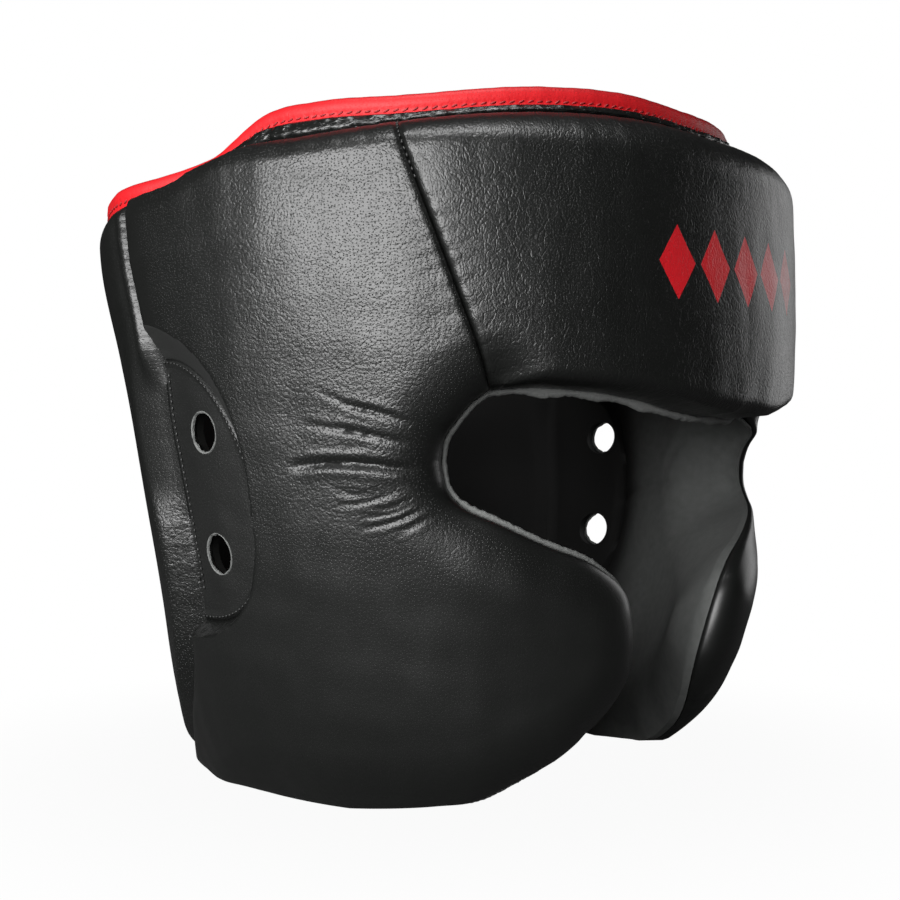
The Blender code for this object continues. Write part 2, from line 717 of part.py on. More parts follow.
def swept(sections, capped_end):
    """Solid swept through closed sections, capped at its start and, if asked, at its end."""
    count = len(sections[0])
    vertices = np.vstack(sections)
    faces = []
    for j in range(len(sections) - 1):
        for i in range(count):
            after = (i + 1) % count
            faces.append([j * count + i, j * count + after, (j + 1) * count + after, (j + 1) * count + i])
    faces.append(list(range(count))[::-1])
    if capped_end:
        faces.append([(len(sections) - 1) * count + i for i in range(count)])
    return vertices, faces


def binding_section(angle, edge, upward, lean=0.0):
    """Folded leather round the lining's edge: up over the rim, or down under the nape.

    The lean is the change of angle from the lining's foot to the binding's seat.
    """
    inside = lining_depth_at(angle, edge)
    outer = inside - BINDING_CLEARANCE - BINDING_LEATHER
    inner = inside + LINING_THICKNESS + BINDING_CLEARANCE + BINDING_LEATHER
    bevel = BINDING_LEATHER * BINDING_BEVEL_SHARE
    profile = [
        (outer, BINDING_HEIGHT), (outer, bevel), (outer + bevel, 0.0), (inner - bevel, 0.0), (inner, bevel),
        (inner, BINDING_HEIGHT), (inner - BINDING_LEATHER, BINDING_HEIGHT),
        (inner - BINDING_LEATHER, BINDING_LEATHER), (outer + BINDING_LEATHER, BINDING_LEATHER),
        (outer + BINDING_LEATHER, BINDING_HEIGHT)]
    depths, falls = np.array(profile).T
    leaning = np.maximum(falls - LINING_FOOT, 0.0) / (BINDING_SEAT - LINING_FOOT)
    points = np.stack([angle + lean * leaning, edge - upward * falls], axis=-1)
    return surface_point(points, depths)


def add_bindings(grids, lines):
    """Red binding on the top rim, and on the nape's edge at each side of the slit."""
    top_columns = split_shares(EAR_COLUMNS, SIDE_COLUMNS, TOP_EAR_SHARE)
    angles = np.concatenate([along(lines["back_top"], BACK_COLUMNS)[:, 0],
                             along(lines["side_top"], top_columns)[1:, 0],
                             along(lines["brow_top"], BROW_COLUMNS)[1:, 0]])
    sections = [binding_section(angle, float(rim_height(angle)), 1.0)[::-1] for angle in angles]
    vertices, faces = swept(sections, capped_end=False)
    mirror_across(add_object("top_binding", vertices, faces, LEATHER_RED, 0.40))
    foot, seat = grids["back"][:2, :-1, 0]
    sections = [binding_section(low, 0.0, -1.0, high - low) for low, high in zip(foot, seat)]
    add_pair("nape_binding", *swept(sections, capped_end=True), LEATHER_RED, 0.40)


def collar_section(angle):
    """Rolled leather between the pads' top edge and the binding."""
    low = float(pad_top(angle)) + SEAT_GAP
    high = float(rim_height(angle)) - BINDING_SEAT
    inner = lining_depth_at(angle, high) - BINDING_CLEARANCE
    outer = inner - COLLAR_WIDTH
    bevel = COLLAR_BEVEL_SHARE * (high - low)
    profile = [(inner, high), (inner, low), (outer + 2.0 * bevel, low), (outer, low + bevel),
               (outer, high - bevel), (outer + bevel, high)]
    points = np.array([[angle, height] for _, height in profile])
    return surface_point(points, np.array([depth for depth, _ in profile]))[::-1]


def add_collar(lines):
    """Black roll under the binding, round the front of the rim."""
    top_columns = split_shares(EAR_COLUMNS, SIDE_COLUMNS, TOP_EAR_SHARE)
    angles = np.concatenate([along(lines["side_top"], top_columns)[:, 0],
                             along(lines["brow_top"], BROW_COLUMNS)[1:, 0]])
    angles = [COLLAR_END_ANGLE] + [angle for angle in angles if angle < COLLAR_END_ANGLE - 1.0]
    vertices, faces = swept([collar_section(angle) for angle in angles], capped_end=False)
    mirror_across(add_object("rim_collar", vertices, faces, LEATHER_BLACK, 0.30))


def add_strap():
    """Plain strap that holds the two back pads together across the slit."""
    angles = np.linspace(360.0 - STRAP_END_ANGLE, STRAP_END_ANGLE, STRAP_COLUMNS)
    heights = STRAP_CENTRE + STRAP_HEIGHT * np.array([-0.5, 0.5])
    points, faces, _ = joined([np.stack(np.broadcast_arrays(angles[None, :], heights[:, None]), axis=-1)])
    strap = add_object("closure_strap", surface_point(points, -SEAT_GAP), faces, LEATHER_BLACK, 0.45)
    wall = strap.modifiers.new("thickness", "SOLIDIFY")
    wall.thickness = STRAP_THICKNESS
    wall.offset = 1.0


def main():
    for old in list(bpy.data.objects):
        bpy.data.objects.remove(old, do_unlink=True)
    for name in ("boxing_head_guard", "cutters"):
        collection = bpy.data.collections.new(name)
        bpy.context.scene.collection.children.link(collection)
    lines = outlines()
    grids = panel_grids(lines)
    cutters = add_hole_cutters()
    add_pads(grids, lines)
    add_ear_patches(grids, cutters)
    add_lining(grids, lines, cutters)
    add_bindings(grids, lines)
    add_collar(lines)
    add_strap()


main()
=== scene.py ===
"""Looks of a padded leather boxing head guard: leather panels, folds, stitches, binding and lining.

Metres, +Z up. A place on the guard is an angle round the head (0 at the face, 90 at the wearer's
right) and a height, and its depth is measured inwards from the padded surface.
"""

import math

import bmesh
import bpy
import numpy as np
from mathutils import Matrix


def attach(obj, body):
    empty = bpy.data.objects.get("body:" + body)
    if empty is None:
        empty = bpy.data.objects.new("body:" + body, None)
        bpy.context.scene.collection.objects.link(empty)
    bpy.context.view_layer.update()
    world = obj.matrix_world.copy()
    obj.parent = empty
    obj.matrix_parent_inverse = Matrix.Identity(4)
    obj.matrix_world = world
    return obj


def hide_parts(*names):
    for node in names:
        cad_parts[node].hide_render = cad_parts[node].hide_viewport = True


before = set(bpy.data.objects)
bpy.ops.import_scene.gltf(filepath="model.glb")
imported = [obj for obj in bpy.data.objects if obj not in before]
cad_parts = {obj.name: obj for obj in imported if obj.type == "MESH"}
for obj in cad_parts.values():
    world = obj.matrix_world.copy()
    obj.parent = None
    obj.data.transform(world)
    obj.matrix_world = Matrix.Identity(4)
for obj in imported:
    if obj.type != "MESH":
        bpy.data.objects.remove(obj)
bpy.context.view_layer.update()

# Overall form of the padded surface
HALF_WIDTH = 0.120
RIM_HEIGHT = 0.216
FRONT_REACH = 0.121
BACK_REACH = 0.118
PLAN_SQUARENESS = 2.1

# Pads
PAD_THICKNESS = 0.023
BACK_PAD_THICKNESS = 0.013
EDGE_THICKNESS = 0.0016
SOLE_THICKNESS = 0.008
CHEEK_SEAM_DEPTH = 0.010
EYE_SEAM_DEPTH = 0.014
BROW_SEAM_DEPTH = 0.016
RIM_SEAM_DEPTH = 0.0215
BACK_SEAM_DEPTH = 0.0055
CHEEK_ROLL = 0.020
EYE_ROLL = 0.0172
EYE_ROLL_REACH = 0.030
BROW_ROLL = 0.0058
TOP_ROLL = 0.0100
FRONT_TOP_ROLL = 0.0155
TOP_ROLL_ANGLES = (25.0, 60.0)
EAR_WALL = 0.0045
EAR_WALL_SPREAD = 0.0058
WALL_FOOT = 0.088
# Roundness of the rolled edges, where 2 is a quarter circle
FACE_POWER = 1.8
CHIN_POWER = 1.9
BROW_POWER = 2.7
BACK_ROLL = 0.009
NAPE_ROLL = 0.008
LINING_ROLL = 0.024
# Angles round from the face over which the lining's colour turns from painted light in front to painted shade
# behind
LINING_PAINTED_SHADE_ANGLES = (62.0, 86.0)
SEAM_ROLL = 0.0017
SEAM_DEPTH = 0.0020

# Face opening
EYE_LINE = 0.1055
OPENING_ANGLE = 51.0
BROW_RISE = 0.0205
BROW_SEAM_TOP_ANGLE = 57.5
BACK_SLIT = 0.010

# Ear cut-out and holes
EAR_CUT_HEIGHT = 0.082
EAR_CUT_DEPTH = 0.040
EAR_CUT_CENTRE = 0.0965
EAR_HOLE_DIAMETER = 0.013
EAR_HOLE_ANGLE = 95.5
FAR_HOLE_ANGLE = 92.0
EAR_HOLE_HEIGHTS = (0.077, 0.1144)
HOLE_SIDES = 56
HOLE_FRAY = 0.00022
# Rings of an ear hole's raw edge: depth behind the patch's face, and how far it narrows the hole
HOLE_RINGS = (
    (-0.0001, 0.0000),
    (0.0003, 0.0003),
    (0.0001, 0.0006),
    (-0.0006, 0.0007),
    (-0.0008, 0.0001),
)
PATCH_LIP = (0.0008, 0.0012, 0.0008)
PATCH_CREASE = (0.0004, 0.0005)

# Lining, bindings, collar and strap
LINING_THICKNESS = 0.0025
LINING_GAP = 0.00045
BINDING_HEIGHT = 0.0065
BINDING_LEATHER = 0.0013
BINDING_CLEARANCE = 0.0004
SEAT_GAP = 0.0004
COLLAR_HEIGHT = 0.0055
COLLAR_WIDTH = 0.0048
COLLAR_END_ANGLE = 100.0
COLLAR_FOOT_OVERLAP = 0.0006
COLLAR_TOP_OVERLAP = 0.0008
COLLAR_BACK = 0.0008
COLLAR_TIP_SHARE = 0.3
COLLAR_FADE = 6.0
COLLAR_WRINKLE = 0.0003
# Pleats of the collar: height, length from crest to crest, seed
COLLAR_PLEATS = (
    (0.6, 0.0085, 41),
    (0.4, 0.0036, 42),
)
PLEAT_HEIGHT = 0.0007
STRAP_HEIGHT = 0.038
STRAP_CENTRE = 0.107
STRAP_END_ANGLE = 152.0
STRAP_THICKNESS = 0.0025
STRAP_ROLL = 0.0022
STRAP_STITCH_INSET = 0.0035
STRAP_STITCH_TURN = 1.8

# Camera, as the photograph was taken
EYE_PLACE = (-0.3802, -0.3247, 0.1085)
VIEW_TURN = -49.5
LENS = 56.0
SENSOR = 36.0
HORIZON_SHIFT = 2.0 / 900.0

# How far the left cheek leans in at its foot, and the height where that begins
LEAN = (-0.0044, 0.0052)
LEAN_HEIGHT = 0.066
# How far the brow's left end sags, at which height, and how far up and down that reaches
SAG = 0.0040
SAG_HEIGHT = 0.124
SAG_REACH = 0.014

# How far the side pad's top puffs up in front of the binding, and where
PAD_OVERLAP = 0.0022
OVERLAP_ANGLES = (85.0, 93.0)
OVERLAP_GAP = 0.0035
OVERLAP_WIDTH = 0.0024

# How flat the left pad's edge is pressed at the notch beside the eye, how far, and at which heights
EYE_PRESS = 0.60
PRESS_REACH = 0.0085
PRESS_HEIGHTS = (0.072, 0.094, 0.118, 0.128)

# Binding and suede details
SHARP_ANGLE = 55.0
BINDING_TALL = 0.0074
BINDING_FLARE = 0.0026
BINDING_LOBE = 0.0012
FLARE_ANGLES = (104.0, 122.0)
STITCH_SHARE = 0.66
GROOVE_WIDTH = 0.10
GROOVE_DEPTH = (0.00030, 0.00010)
BINDING_TOP_SHARE = 0.42
BINDING_SWELLS = (
    (0.5, 0.016, 31),
    (0.5, 0.006, 32),
)
# Puff of the binding's face above the groove: height, its change with the swell, place and width
BINDING_PUFF = (0.00035, 0.00025, 0.34, 0.24)
BINDING_LIP = (0.0003, 0.8)
LIP_SHARES = (0.80, 1.0)
LIP_WAVE = 0.00035
TOP_WAVE = 0.0002
TOP_WAVE_SHARE = 0.2
SUEDE_SHIFT = 0.0008
SUEDE_WIDTH = 0.00105
SUEDE_DEPTH = 0.00145
SUEDE_LUMP = 0.00012
SUEDE_BROW_LUMP = 0.0016
SUEDE_FUZZ = 0.00016
SUEDE_STEPS = 560
SUEDE_FADE_HEIGHTS = (EYE_LINE + 0.012, EYE_LINE + 0.018)
SUEDE_FAR_FADE_ANGLES = (10.0, 20.0)
SUEDE_FAR_SHIFT = 0.0044

# Swell of the leather: height, length from crest to crest, seed
PAD_SWELLS = (
    (0.0005, 0.045, 3),
    (0.00016, 0.013, 4),
)
BACK_SWELL = (0.0007, 0.05, 11)
PATCH_SWELL = (0.00015, 0.012, 15)
LINING_SWELL = (0.0003, 0.035, 17)
# Ripples that run out from a stitched seam: height, length, reach, seed
BROW_SEAM_PUCKERS = (0.00022, 0.0052, 0.0045, 5)
TOP_PUCKERS = (0.00030, 0.0085, 0.007, 6)
HIGH_SEAM_PUCKERS = (0.00025, 0.0045, 0.004, 7)
EAR_PUCKERS = (0.0009, 0.0042, 0.0035, 8)
LOW_WALL_DROPS = (0.018, 0.034)
BACK_PUCKERS = (
    (0.00018, 0.0075, 0.006, 12),
    (0.00012, 0.0023, 0.006, 13),
)

# Strength of the grain: on a side pad from its foot up and in its folds, and close to its edges
SIDE_GRAIN = (0.20, 0.60, 0.30)
SIDE_GRAIN_HEIGHTS = (0.060, 0.105)
FOLDED_PLACE = (61.0, 0.110)
FOLDED_REACH = (11.0, 0.023)
REAR_GRAIN = 0.14
REAR_GRAIN_GAPS = (0.009, 0.017)
FACE_GRAIN = 0.2
FACE_GRAIN_GAPS = (0.002, 0.006)
BACK_GRAIN = (0.30, 0.50)
BACK_GRAIN_HEIGHTS = (0.082, 0.100)
BACK_GRAIN_GAPS = (0.010, 0.016)

# Leather: its pits, the pebbles between them, its creases and its wider unevenness
PIT_RANDOMNESS = 0.8
PIT_REACH = (0.03, 0.21)
PIT_DARKNESS = 0.7
PIT_DULLNESS = 0.15
PEBBLE_FINENESS = 1.1
PEBBLE_WEIGHT = 1.3
CREASE_SCALE = 260.0
CREASE_REACH = 0.05
CREASE_WEIGHT = 0.35
UNEVEN_SCALE = 90.0
UNEVEN_WEIGHT = 1.6
UNEVEN_GLOSS = 0.12
PRINT_COLOUR = (0.52, 0.010, 0.016)

# Light: share of white that the surroundings give, and the soft lights
AMBIENT = 0.015
FLOOR_GREY = 0.08
# Reach from the middle and shares of white glow over which the floor's painted shadow round the guard fades out
SHADOW_REACH = (0.08, 0.24)
SHADOW_SHARES = (0.95, 1.0)
AIM_HEIGHT = 0.11
LIGHTS = (
    # name, angle round, height, distance, (width, height), power, whether it lights as well as shines
    ("key_softbox", 77.0, 0.285, 0.85, (0.87, 0.44), 16.0, True),
    ("top_softbox", 50.0, 1.10, 0.35, (0.60, 0.40), 8.0, False),
    ("rim_softbox", -75.0, 0.25, 0.90, (0.50, 0.60), 1.35, True),
)

# Sections of the padded surface: shares of the rim height, half width, front and back reach
SECTIONS = (
    # height, width, front, back
    (0.000, 0.705, 0.775, 0.800),
    (0.095, 0.780, 0.818, 0.782),
    (0.275, 0.872, 0.872, 0.758),
    (0.488, 0.940, 0.948, 0.812),
    (0.650, 0.975, 0.980, 0.896),
    (0.780, 0.997, 0.972, 0.988),
    (1.000, 0.990, 0.964, 0.985),
)
# Top rim: share of the rim height, and how much collar shows under the binding
RIM = (
    # angle, height, collar
    (0.0, 0.998, 0.45),
    (18.0, 1.001, 0.40),
    (36.0, 0.994, 0.34),
    (57.5, 0.980, 0.46),
    (72.0, 0.980, 0.92),
    (84.0, 0.973, 0.86),
    (96.0, 0.932, 0.60),
    (108.0, 0.905, 0.00),
    (120.0, 0.893, 0.00),
    (180.0, 0.889, 0.00),
)
# Seam behind the ear, from the floor to the rim
BACK_SEAM = (
    # share of the rim height, angle
    (0.000, 131.0),
    (0.069, 121.0),
    (0.134, 112.8),
    (0.194, 107.0),
    (0.278, 104.0),
    (0.417, 103.7),
    (0.556, 105.3),
    (0.690, 105.3),
    (0.778, 107.8),
    (0.880, 110.5),
)
# Bottom edge of the cheek pad, from the nape forward, as shares of the opening angle and eye line
CHIN_EDGE = (
    # angle, height
    (1.412, 0.000),
    (1.176, 0.016),
    (1.020, 0.028),
    (0.863, 0.044),
    (0.713, 0.100),
    (0.570, 0.158),
    (0.461, 0.225),
)
# Front edge of the cheek pad, from the chin up to the corner of the eye
CHEEK_EDGE = (
    # angle, height
    (0.461, 0.225),
    (0.374, 0.292),
    (0.315, 0.360),
    (0.294, 0.427),
    (0.306, 0.535),
    (0.358, 0.640),
    (0.498, 0.720),
    (0.663, 0.773),
    (0.830, 0.838),
    (0.922, 0.874),
    (0.980, 0.925),
    (1.000, 1.000),
)
# Upper edge of the opening above the eye line, as shares of the opening angle and the brow's rise
EYE_CORNER_EDGE = (
    # angle, rise
    (1.000, 0.00),
    (0.988, 0.33),
    (0.953, 0.57),
    (0.908, 0.82),
    (0.855, 1.00),
)
BROW_EDGE = (
    # angle, rise
    (0.855, 1.00),
    (0.745, 1.04),
    (0.578, 1.02),
    (0.382, 0.94),
    (0.157, 0.76),
    (0.000, 0.68),
)
# Gathers and creases of the side pad: each runs through three places and fades at both ends
FOLDS = (
    # angle 1, height 1, angle 2, height 2, angle 3, height 3, depth mm, width mm
    (68.5, 0.1262, 62.8, 0.1210, 60.0, 0.1202, 0.30, 0.7),
    (64.5, 0.1218, 60.0, 0.1198, 54.6, 0.1160, 0.80, 0.85),
    (71.0, 0.1168, 65.0, 0.1146, 61.5, 0.1140, 0.38, 0.8),
    (66.5, 0.1158, 60.5, 0.1132, 55.2, 0.1106, 0.80, 0.85),
    (73.5, 0.1042, 65.5, 0.1055, 53.5, 0.1036, 1.45, 1.15),
    (60.0, 0.1044, 56.0, 0.1036, 52.2, 0.1032, 0.50, 0.8),
    (67.0, 0.0985, 62.0, 0.0966, 56.0, 0.0998, 0.25, 1.0),
    (66.0, 0.0935, 61.5, 0.0945, 55.4, 0.0985, 0.34, 0.7),
    (60.5, 0.0921, 57.5, 0.0932, 54.0, 0.0965, 0.32, 0.6),
    (62.0, 0.0900, 57.5, 0.0915, 53.0, 0.0956, 0.34, 0.6),
    (59.0, 0.0888, 56.0, 0.0905, 52.6, 0.0942, 0.30, 0.5),
    (63.0, 0.0866, 57.0, 0.0893, 52.5, 0.0938, 0.34, 0.7),
    (57.5, 0.0846, 54.1, 0.0882, 51.2, 0.0915, 0.30, 0.6),
    (58.5, 0.0858, 55.4, 0.0878, 52.4, 0.0912, 0.26, 0.5),
    (57.6, 0.1119, 55.0, 0.1112, 52.5, 0.1102, 0.35, 0.7),
    (56.2, 0.1008, 53.6, 0.0996, 51.3, 0.0990, 0.35, 0.7),
    (54.5, 0.1190, 52.1, 0.1160, 50.4, 0.1140, 0.30, 0.7),
    (70.0, 0.1098, 66.0, 0.1092, 61.0, 0.1096, 0.22, 0.8),
    (103.6, 0.0560, 101.0, 0.0530, 98.5, 0.0492, 0.60, 0.7),
    (102.0, 0.0580, 99.0, 0.0545, 96.0, 0.0515, 0.60, 0.7),
    (99.0, 0.0575, 96.5, 0.0552, 94.0, 0.0530, 0.50, 0.6),
)
FOLD_LIP = (0.25, 2.3, 1.3)
# Soft creases of the lining, each through three places
LINING_CREASES = (
    # angle 1, height 1, angle 2, height 2, angle 3, height 3
    (84.0, 0.0890, 74.0, 0.0938, 61.0, 0.0965),
    (85.0, 0.1200, 84.6, 0.0900, 85.0, 0.0600),
    (56.0, 0.1190, 60.0, 0.1120, 62.0, 0.1040),
)
LINING_CREASE_DEPTH = 0.0008
LINING_CREASE_WIDTH = 0.0018

# The roll that stands beside the seam behind the ear: gaps from the seam, and shares of its depth;
# below it the pad falls to the seam in a facet with the slopes given
RIDGE = (
    (0.0, 0.0006, 0.0026, 0.0040, 0.0050, 0.0060, 0.0076, 0.0092, 0.0125, 0.0170),
    (1.0, 0.92, 0.34, 0.18, 0.16, 0.22, 0.42, 0.38, 0.14, 0.0),
)
RIDGE_HEIGHTS = (0.127, 0.143)
FACET_SLOPES = (0.82, 0.48)
FACET_HEIGHTS = (0.082, 0.100)
FACET_SOFTENING = 0.12
CALM_HEIGHTS = (0.090, 0.100, 0.130, 0.140)

# Printed row of plain diamonds on the forehead
MOTIF_PITCH = 0.0158
MOTIF_HALF_WIDTH = 0.0068
MOTIF_HALF_HEIGHT = 0.0108
MOTIF_HEIGHT = 0.1630
MOTIF_COUNT = 5

# Stitches: length, thickness and height of one, and the way from one to the next
BINDING_STITCH = (0.0021, 0.0006, 0.0006, 0.0028)
FINE_STITCH = (0.0013, 0.0006, 0.0006, 0.0020)
STITCH_STAND = 0.0004
TEMPLE_STITCH_STEPS = 40
BINDING_SLANT = 0.38
BINDING_UNEVENNESS = 0.18

# Fineness of the panels: points along each stretch
BACK_POINTS = 96
EAR_POINTS = 28
SIDE_POINTS = 96
BROW_POINTS = 84
LOW_POINTS = 82
CUT_POINTS = 96
TOP_POINTS = 72
FACE_SPLIT = 0.36
CHIN_SPLIT = 0.17
TOP_SPLIT = 0.25
LOWER_CORNER = 0.794
UPPER_CORNER = 0.707
LOWER_SQUARENESS = 3.0
UPPER_SQUARENESS = 2.0
LINE_STEPS = 161
TOUCHING = 1e-6

# Where one seam depth turns into the next: angles, or shares of a named size
BACK_FADE_ANGLES = (100.0, 118.0)
RIM_FADE_ANGLES = (95.0, 117.0)
RIM_FADE_SHARES = (0.66, 0.90)
BROW_FADE_SHARE = 0.75
EYE_FADE_SHARE = 0.20
SOLE_FADE_ANGLES = (110.0, 122.0)
NAPE_FADE_ANGLES = (88.0, 112.0)
MEAN_REACH_SHARE = 0.93
METRES_PER_DEGREE = math.radians(1.0) * (HALF_WIDTH + FRONT_REACH) / 2.0 * MEAN_REACH_SHARE
SLIT_ANGLE = 180.0 - math.degrees(BACK_SLIT / 2.0 / BACK_REACH)
BINDING_SEAT = BINDING_HEIGHT + SEAT_GAP
LINING_FOOT = BINDING_LEATHER + BINDING_CLEARANCE


def table(rows, x, column):
    """Smooth value of one column of a table at x, which is the first column."""
    keys = np.array([row[0] for row in rows])
    values = np.array([row[column] for row in rows])
    slopes = np.gradient(values, keys)
    x = np.clip(x, keys[0], keys[-1])
    i = np.clip(np.searchsorted(keys, x, side="right") - 1, 0, len(keys) - 2)
    width = keys[i + 1] - keys[i]
    t = (x - keys[i]) / width
    low = values[i] * (1 + 2 * t) * (1 - t) ** 2 + slopes[i] * width * t * (1 - t) ** 2
    high = values[i + 1] * t ** 2 * (3 - 2 * t) + slopes[i + 1] * width * t ** 2 * (t - 1)
    return low + high


def centring_shift():
    """Move along Y that brings the middle of the guard's length over the origin."""
    shares = np.linspace(0.0, 1.0, 49)
    ahead = FRONT_REACH * table(SECTIONS, shares, 2).max()
    behind = BACK_REACH * table(SECTIONS, shares, 3).max()
    return (ahead - behind) / 2.0


PLAN_SHIFT = centring_shift()


def step(x, start, end):
    """Smooth step from 0 at start to 1 at end."""
    t = np.clip((x - start) / (end - start), 0.0, 1.0)
    return t * t * (3.0 - 2.0 * t)


def surface_point(points, depth):
    """Points at a depth below the padded surface, from an array of angles and heights."""
    angle = np.radians(points[..., 0])
    share = points[..., 1] / RIM_HEIGHT
    across = np.sin(angle)
    ahead = np.cos(angle)
    half_width = HALF_WIDTH * table(SECTIONS, share, 1) - depth
    front = FRONT_REACH * table(SECTIONS, share, 2) - depth
    back = BACK_REACH * table(SECTIONS, share, 3) - depth
    reach = np.where(ahead > 0.0, front, back)
    power = PLAN_SQUARENESS
    radius = (np.abs(across / half_width) ** power + np.abs(ahead / reach) ** power) ** (-1.0 / power)
    return np.stack([-radius * across, -radius * ahead + PLAN_SHIFT, points[..., 1]], axis=-1)


def flat(points):
    """Angles and heights laid out flat, in metres."""
    return points * np.array([METRES_PER_DEGREE, 1.0])


def lengths(points):
    """Share of its length at which each point of a line lies."""
    run = np.linalg.norm(np.diff(flat(points), axis=0), axis=1)
    total = np.concatenate([[0.0], np.cumsum(run)])
    return total / total[-1]


def along(points, shares):
    """Points of a line at shares of its length."""
    place = lengths(points)
    return np.stack([np.interp(shares, place, points[:, k]) for k in (0, 1)], axis=-1)


def evenly(count):
    return np.linspace(0.0, 1.0, count)


def smooth_line(rows, steps=16):
    """Catmull-Rom line through rows of angle and height."""
    points = np.array(rows, dtype=float)
    padded = np.vstack([2 * points[0] - points[1], points, 2 * points[-1] - points[-2]])
    line = []
    for i in range(1, len(padded) - 2):
        before, start, end, after = padded[i - 1:i + 3]
        for t in np.arange(steps) / steps:
            line.append(0.5 * (2 * start + (end - before) * t
                               + (2 * before - 5 * start + 4 * end - after) * t ** 2
                               + (3 * start - before - 3 * end + after) * t ** 3))
    line.append(points[-1])
    return np.array(line)


def opening_line(rows, base, rise):
    """A stretch of the face opening, from shares of the opening angle and of a height."""
    return smooth_line([(angle * OPENING_ANGLE, base + height * rise) for angle, height in rows])


def back_seam_angle(height):
    return table(BACK_SEAM, height / RIM_HEIGHT, 1)


def rim_height(angle):
    return RIM_HEIGHT * table(RIM, np.abs(angle), 1)


def pad_top(angle):
    """Top edge of the pads: a collar's height below the binding."""
    return rim_height(angle) - BINDING_SEAT - COLLAR_HEIGHT * np.maximum(table(RIM, np.abs(angle), 2), 0.0)


def seam_depth(points):
    """Depth of the seams below the padded surface."""
    angle = np.abs(points[..., 0])
    height = points[..., 1]
    beside = 1.0 - step(np.abs(angle / OPENING_ANGLE - 1.0), 0.0, EYE_FADE_SHARE)
    eye = beside * (1.0 - step(np.abs(height - EYE_LINE), 0.0, EYE_LINE * EYE_FADE_SHARE))
    low = CHEEK_SEAM_DEPTH + (EYE_SEAM_DEPTH - CHEEK_SEAM_DEPTH) * eye
    over_face = 1.0 - step(angle, BROW_FADE_SHARE * OPENING_ANGLE, OPENING_ANGLE)
    brow = over_face * step(height, EYE_LINE, EYE_LINE + BROW_RISE)
    low = low + (BROW_SEAM_DEPTH - low) * brow
    low = low + (BACK_SEAM_DEPTH - low) * step(angle, *BACK_FADE_ANGLES)
    top = RIM_SEAM_DEPTH + (BACK_SEAM_DEPTH - RIM_SEAM_DEPTH) * step(angle, *RIM_FADE_ANGLES)
    return low + (top - low) * step(height / RIM_HEIGHT, *RIM_FADE_SHARES)


def edge_thickness(points):
    """Thickness of a pad at its edge: thin at a seam, wide where the guard stands."""
    ahead = 1.0 - step(points[..., 0], *SOLE_FADE_ANGLES)
    sole = ahead * (1.0 - step(points[..., 1], 0.0, SOLE_THICKNESS))
    return EDGE_THICKNESS + (SOLE_THICKNESS - EDGE_THICKNESS) * sole


def ear_cut_point(turn):
    """Point of the ear cut-out: turn runs from -1 at its lower end to 1 at its upper end."""
    power = np.where(turn < 0.0, LOWER_SQUARENESS, UPPER_SQUARENESS)
    reach = (1.0 - np.abs(turn) ** power) ** (1.0 / power)
    height = EAR_CUT_CENTRE + turn * EAR_CUT_HEIGHT / 2.0
    return np.stack([back_seam_angle(height) - reach * EAR_CUT_DEPTH / METRES_PER_DEGREE, height], axis=-1)


def ear_cut_line(start, end):
    """Stretch of the ear cut-out between two turns, in even steps of angle."""
    phase = np.linspace(math.asin(start), math.asin(end), LINE_STEPS)
    return ear_cut_point(np.sin(phase))


def seam_line(start, end):
    """Stretch of the seam behind the ear between two heights."""
    height = np.linspace(start, end, LINE_STEPS)
    return np.stack([back_seam_angle(height), height], axis=-1)


def level_line(start, end, height):
    """Line from one angle to another at the height that a function gives."""
    angle = np.linspace(start, end, LINE_STEPS)
    return np.stack([angle, height(angle)], axis=-1)


def patch(bottom, top, left, right):
    """Grid of points that fills four sides (rows from bottom to top, columns from left to right)."""
    u = ((lengths(bottom) + lengths(top)) / 2.0)[None, :, None]
    v = ((lengths(left) + lengths(right)) / 2.0)[:, None, None]
    ruled = (1 - v) * bottom[None] + v * top[None] + (1 - u) * left[:, None] + u * right[:, None]
    corners = ((1 - u) * (1 - v) * bottom[0] + u * (1 - v) * bottom[-1]
               + (1 - u) * v * top[0] + u * v * top[-1])
    return ruled - corners


def seam_top():
    """Angle and height at which the seam behind the ear meets the pads' top edge."""
    height = RIM_HEIGHT * BACK_SEAM[-1][0]
    for _ in range(20):
        height = float(pad_top(back_seam_angle(height)))
    return float(back_seam_angle(height)), height


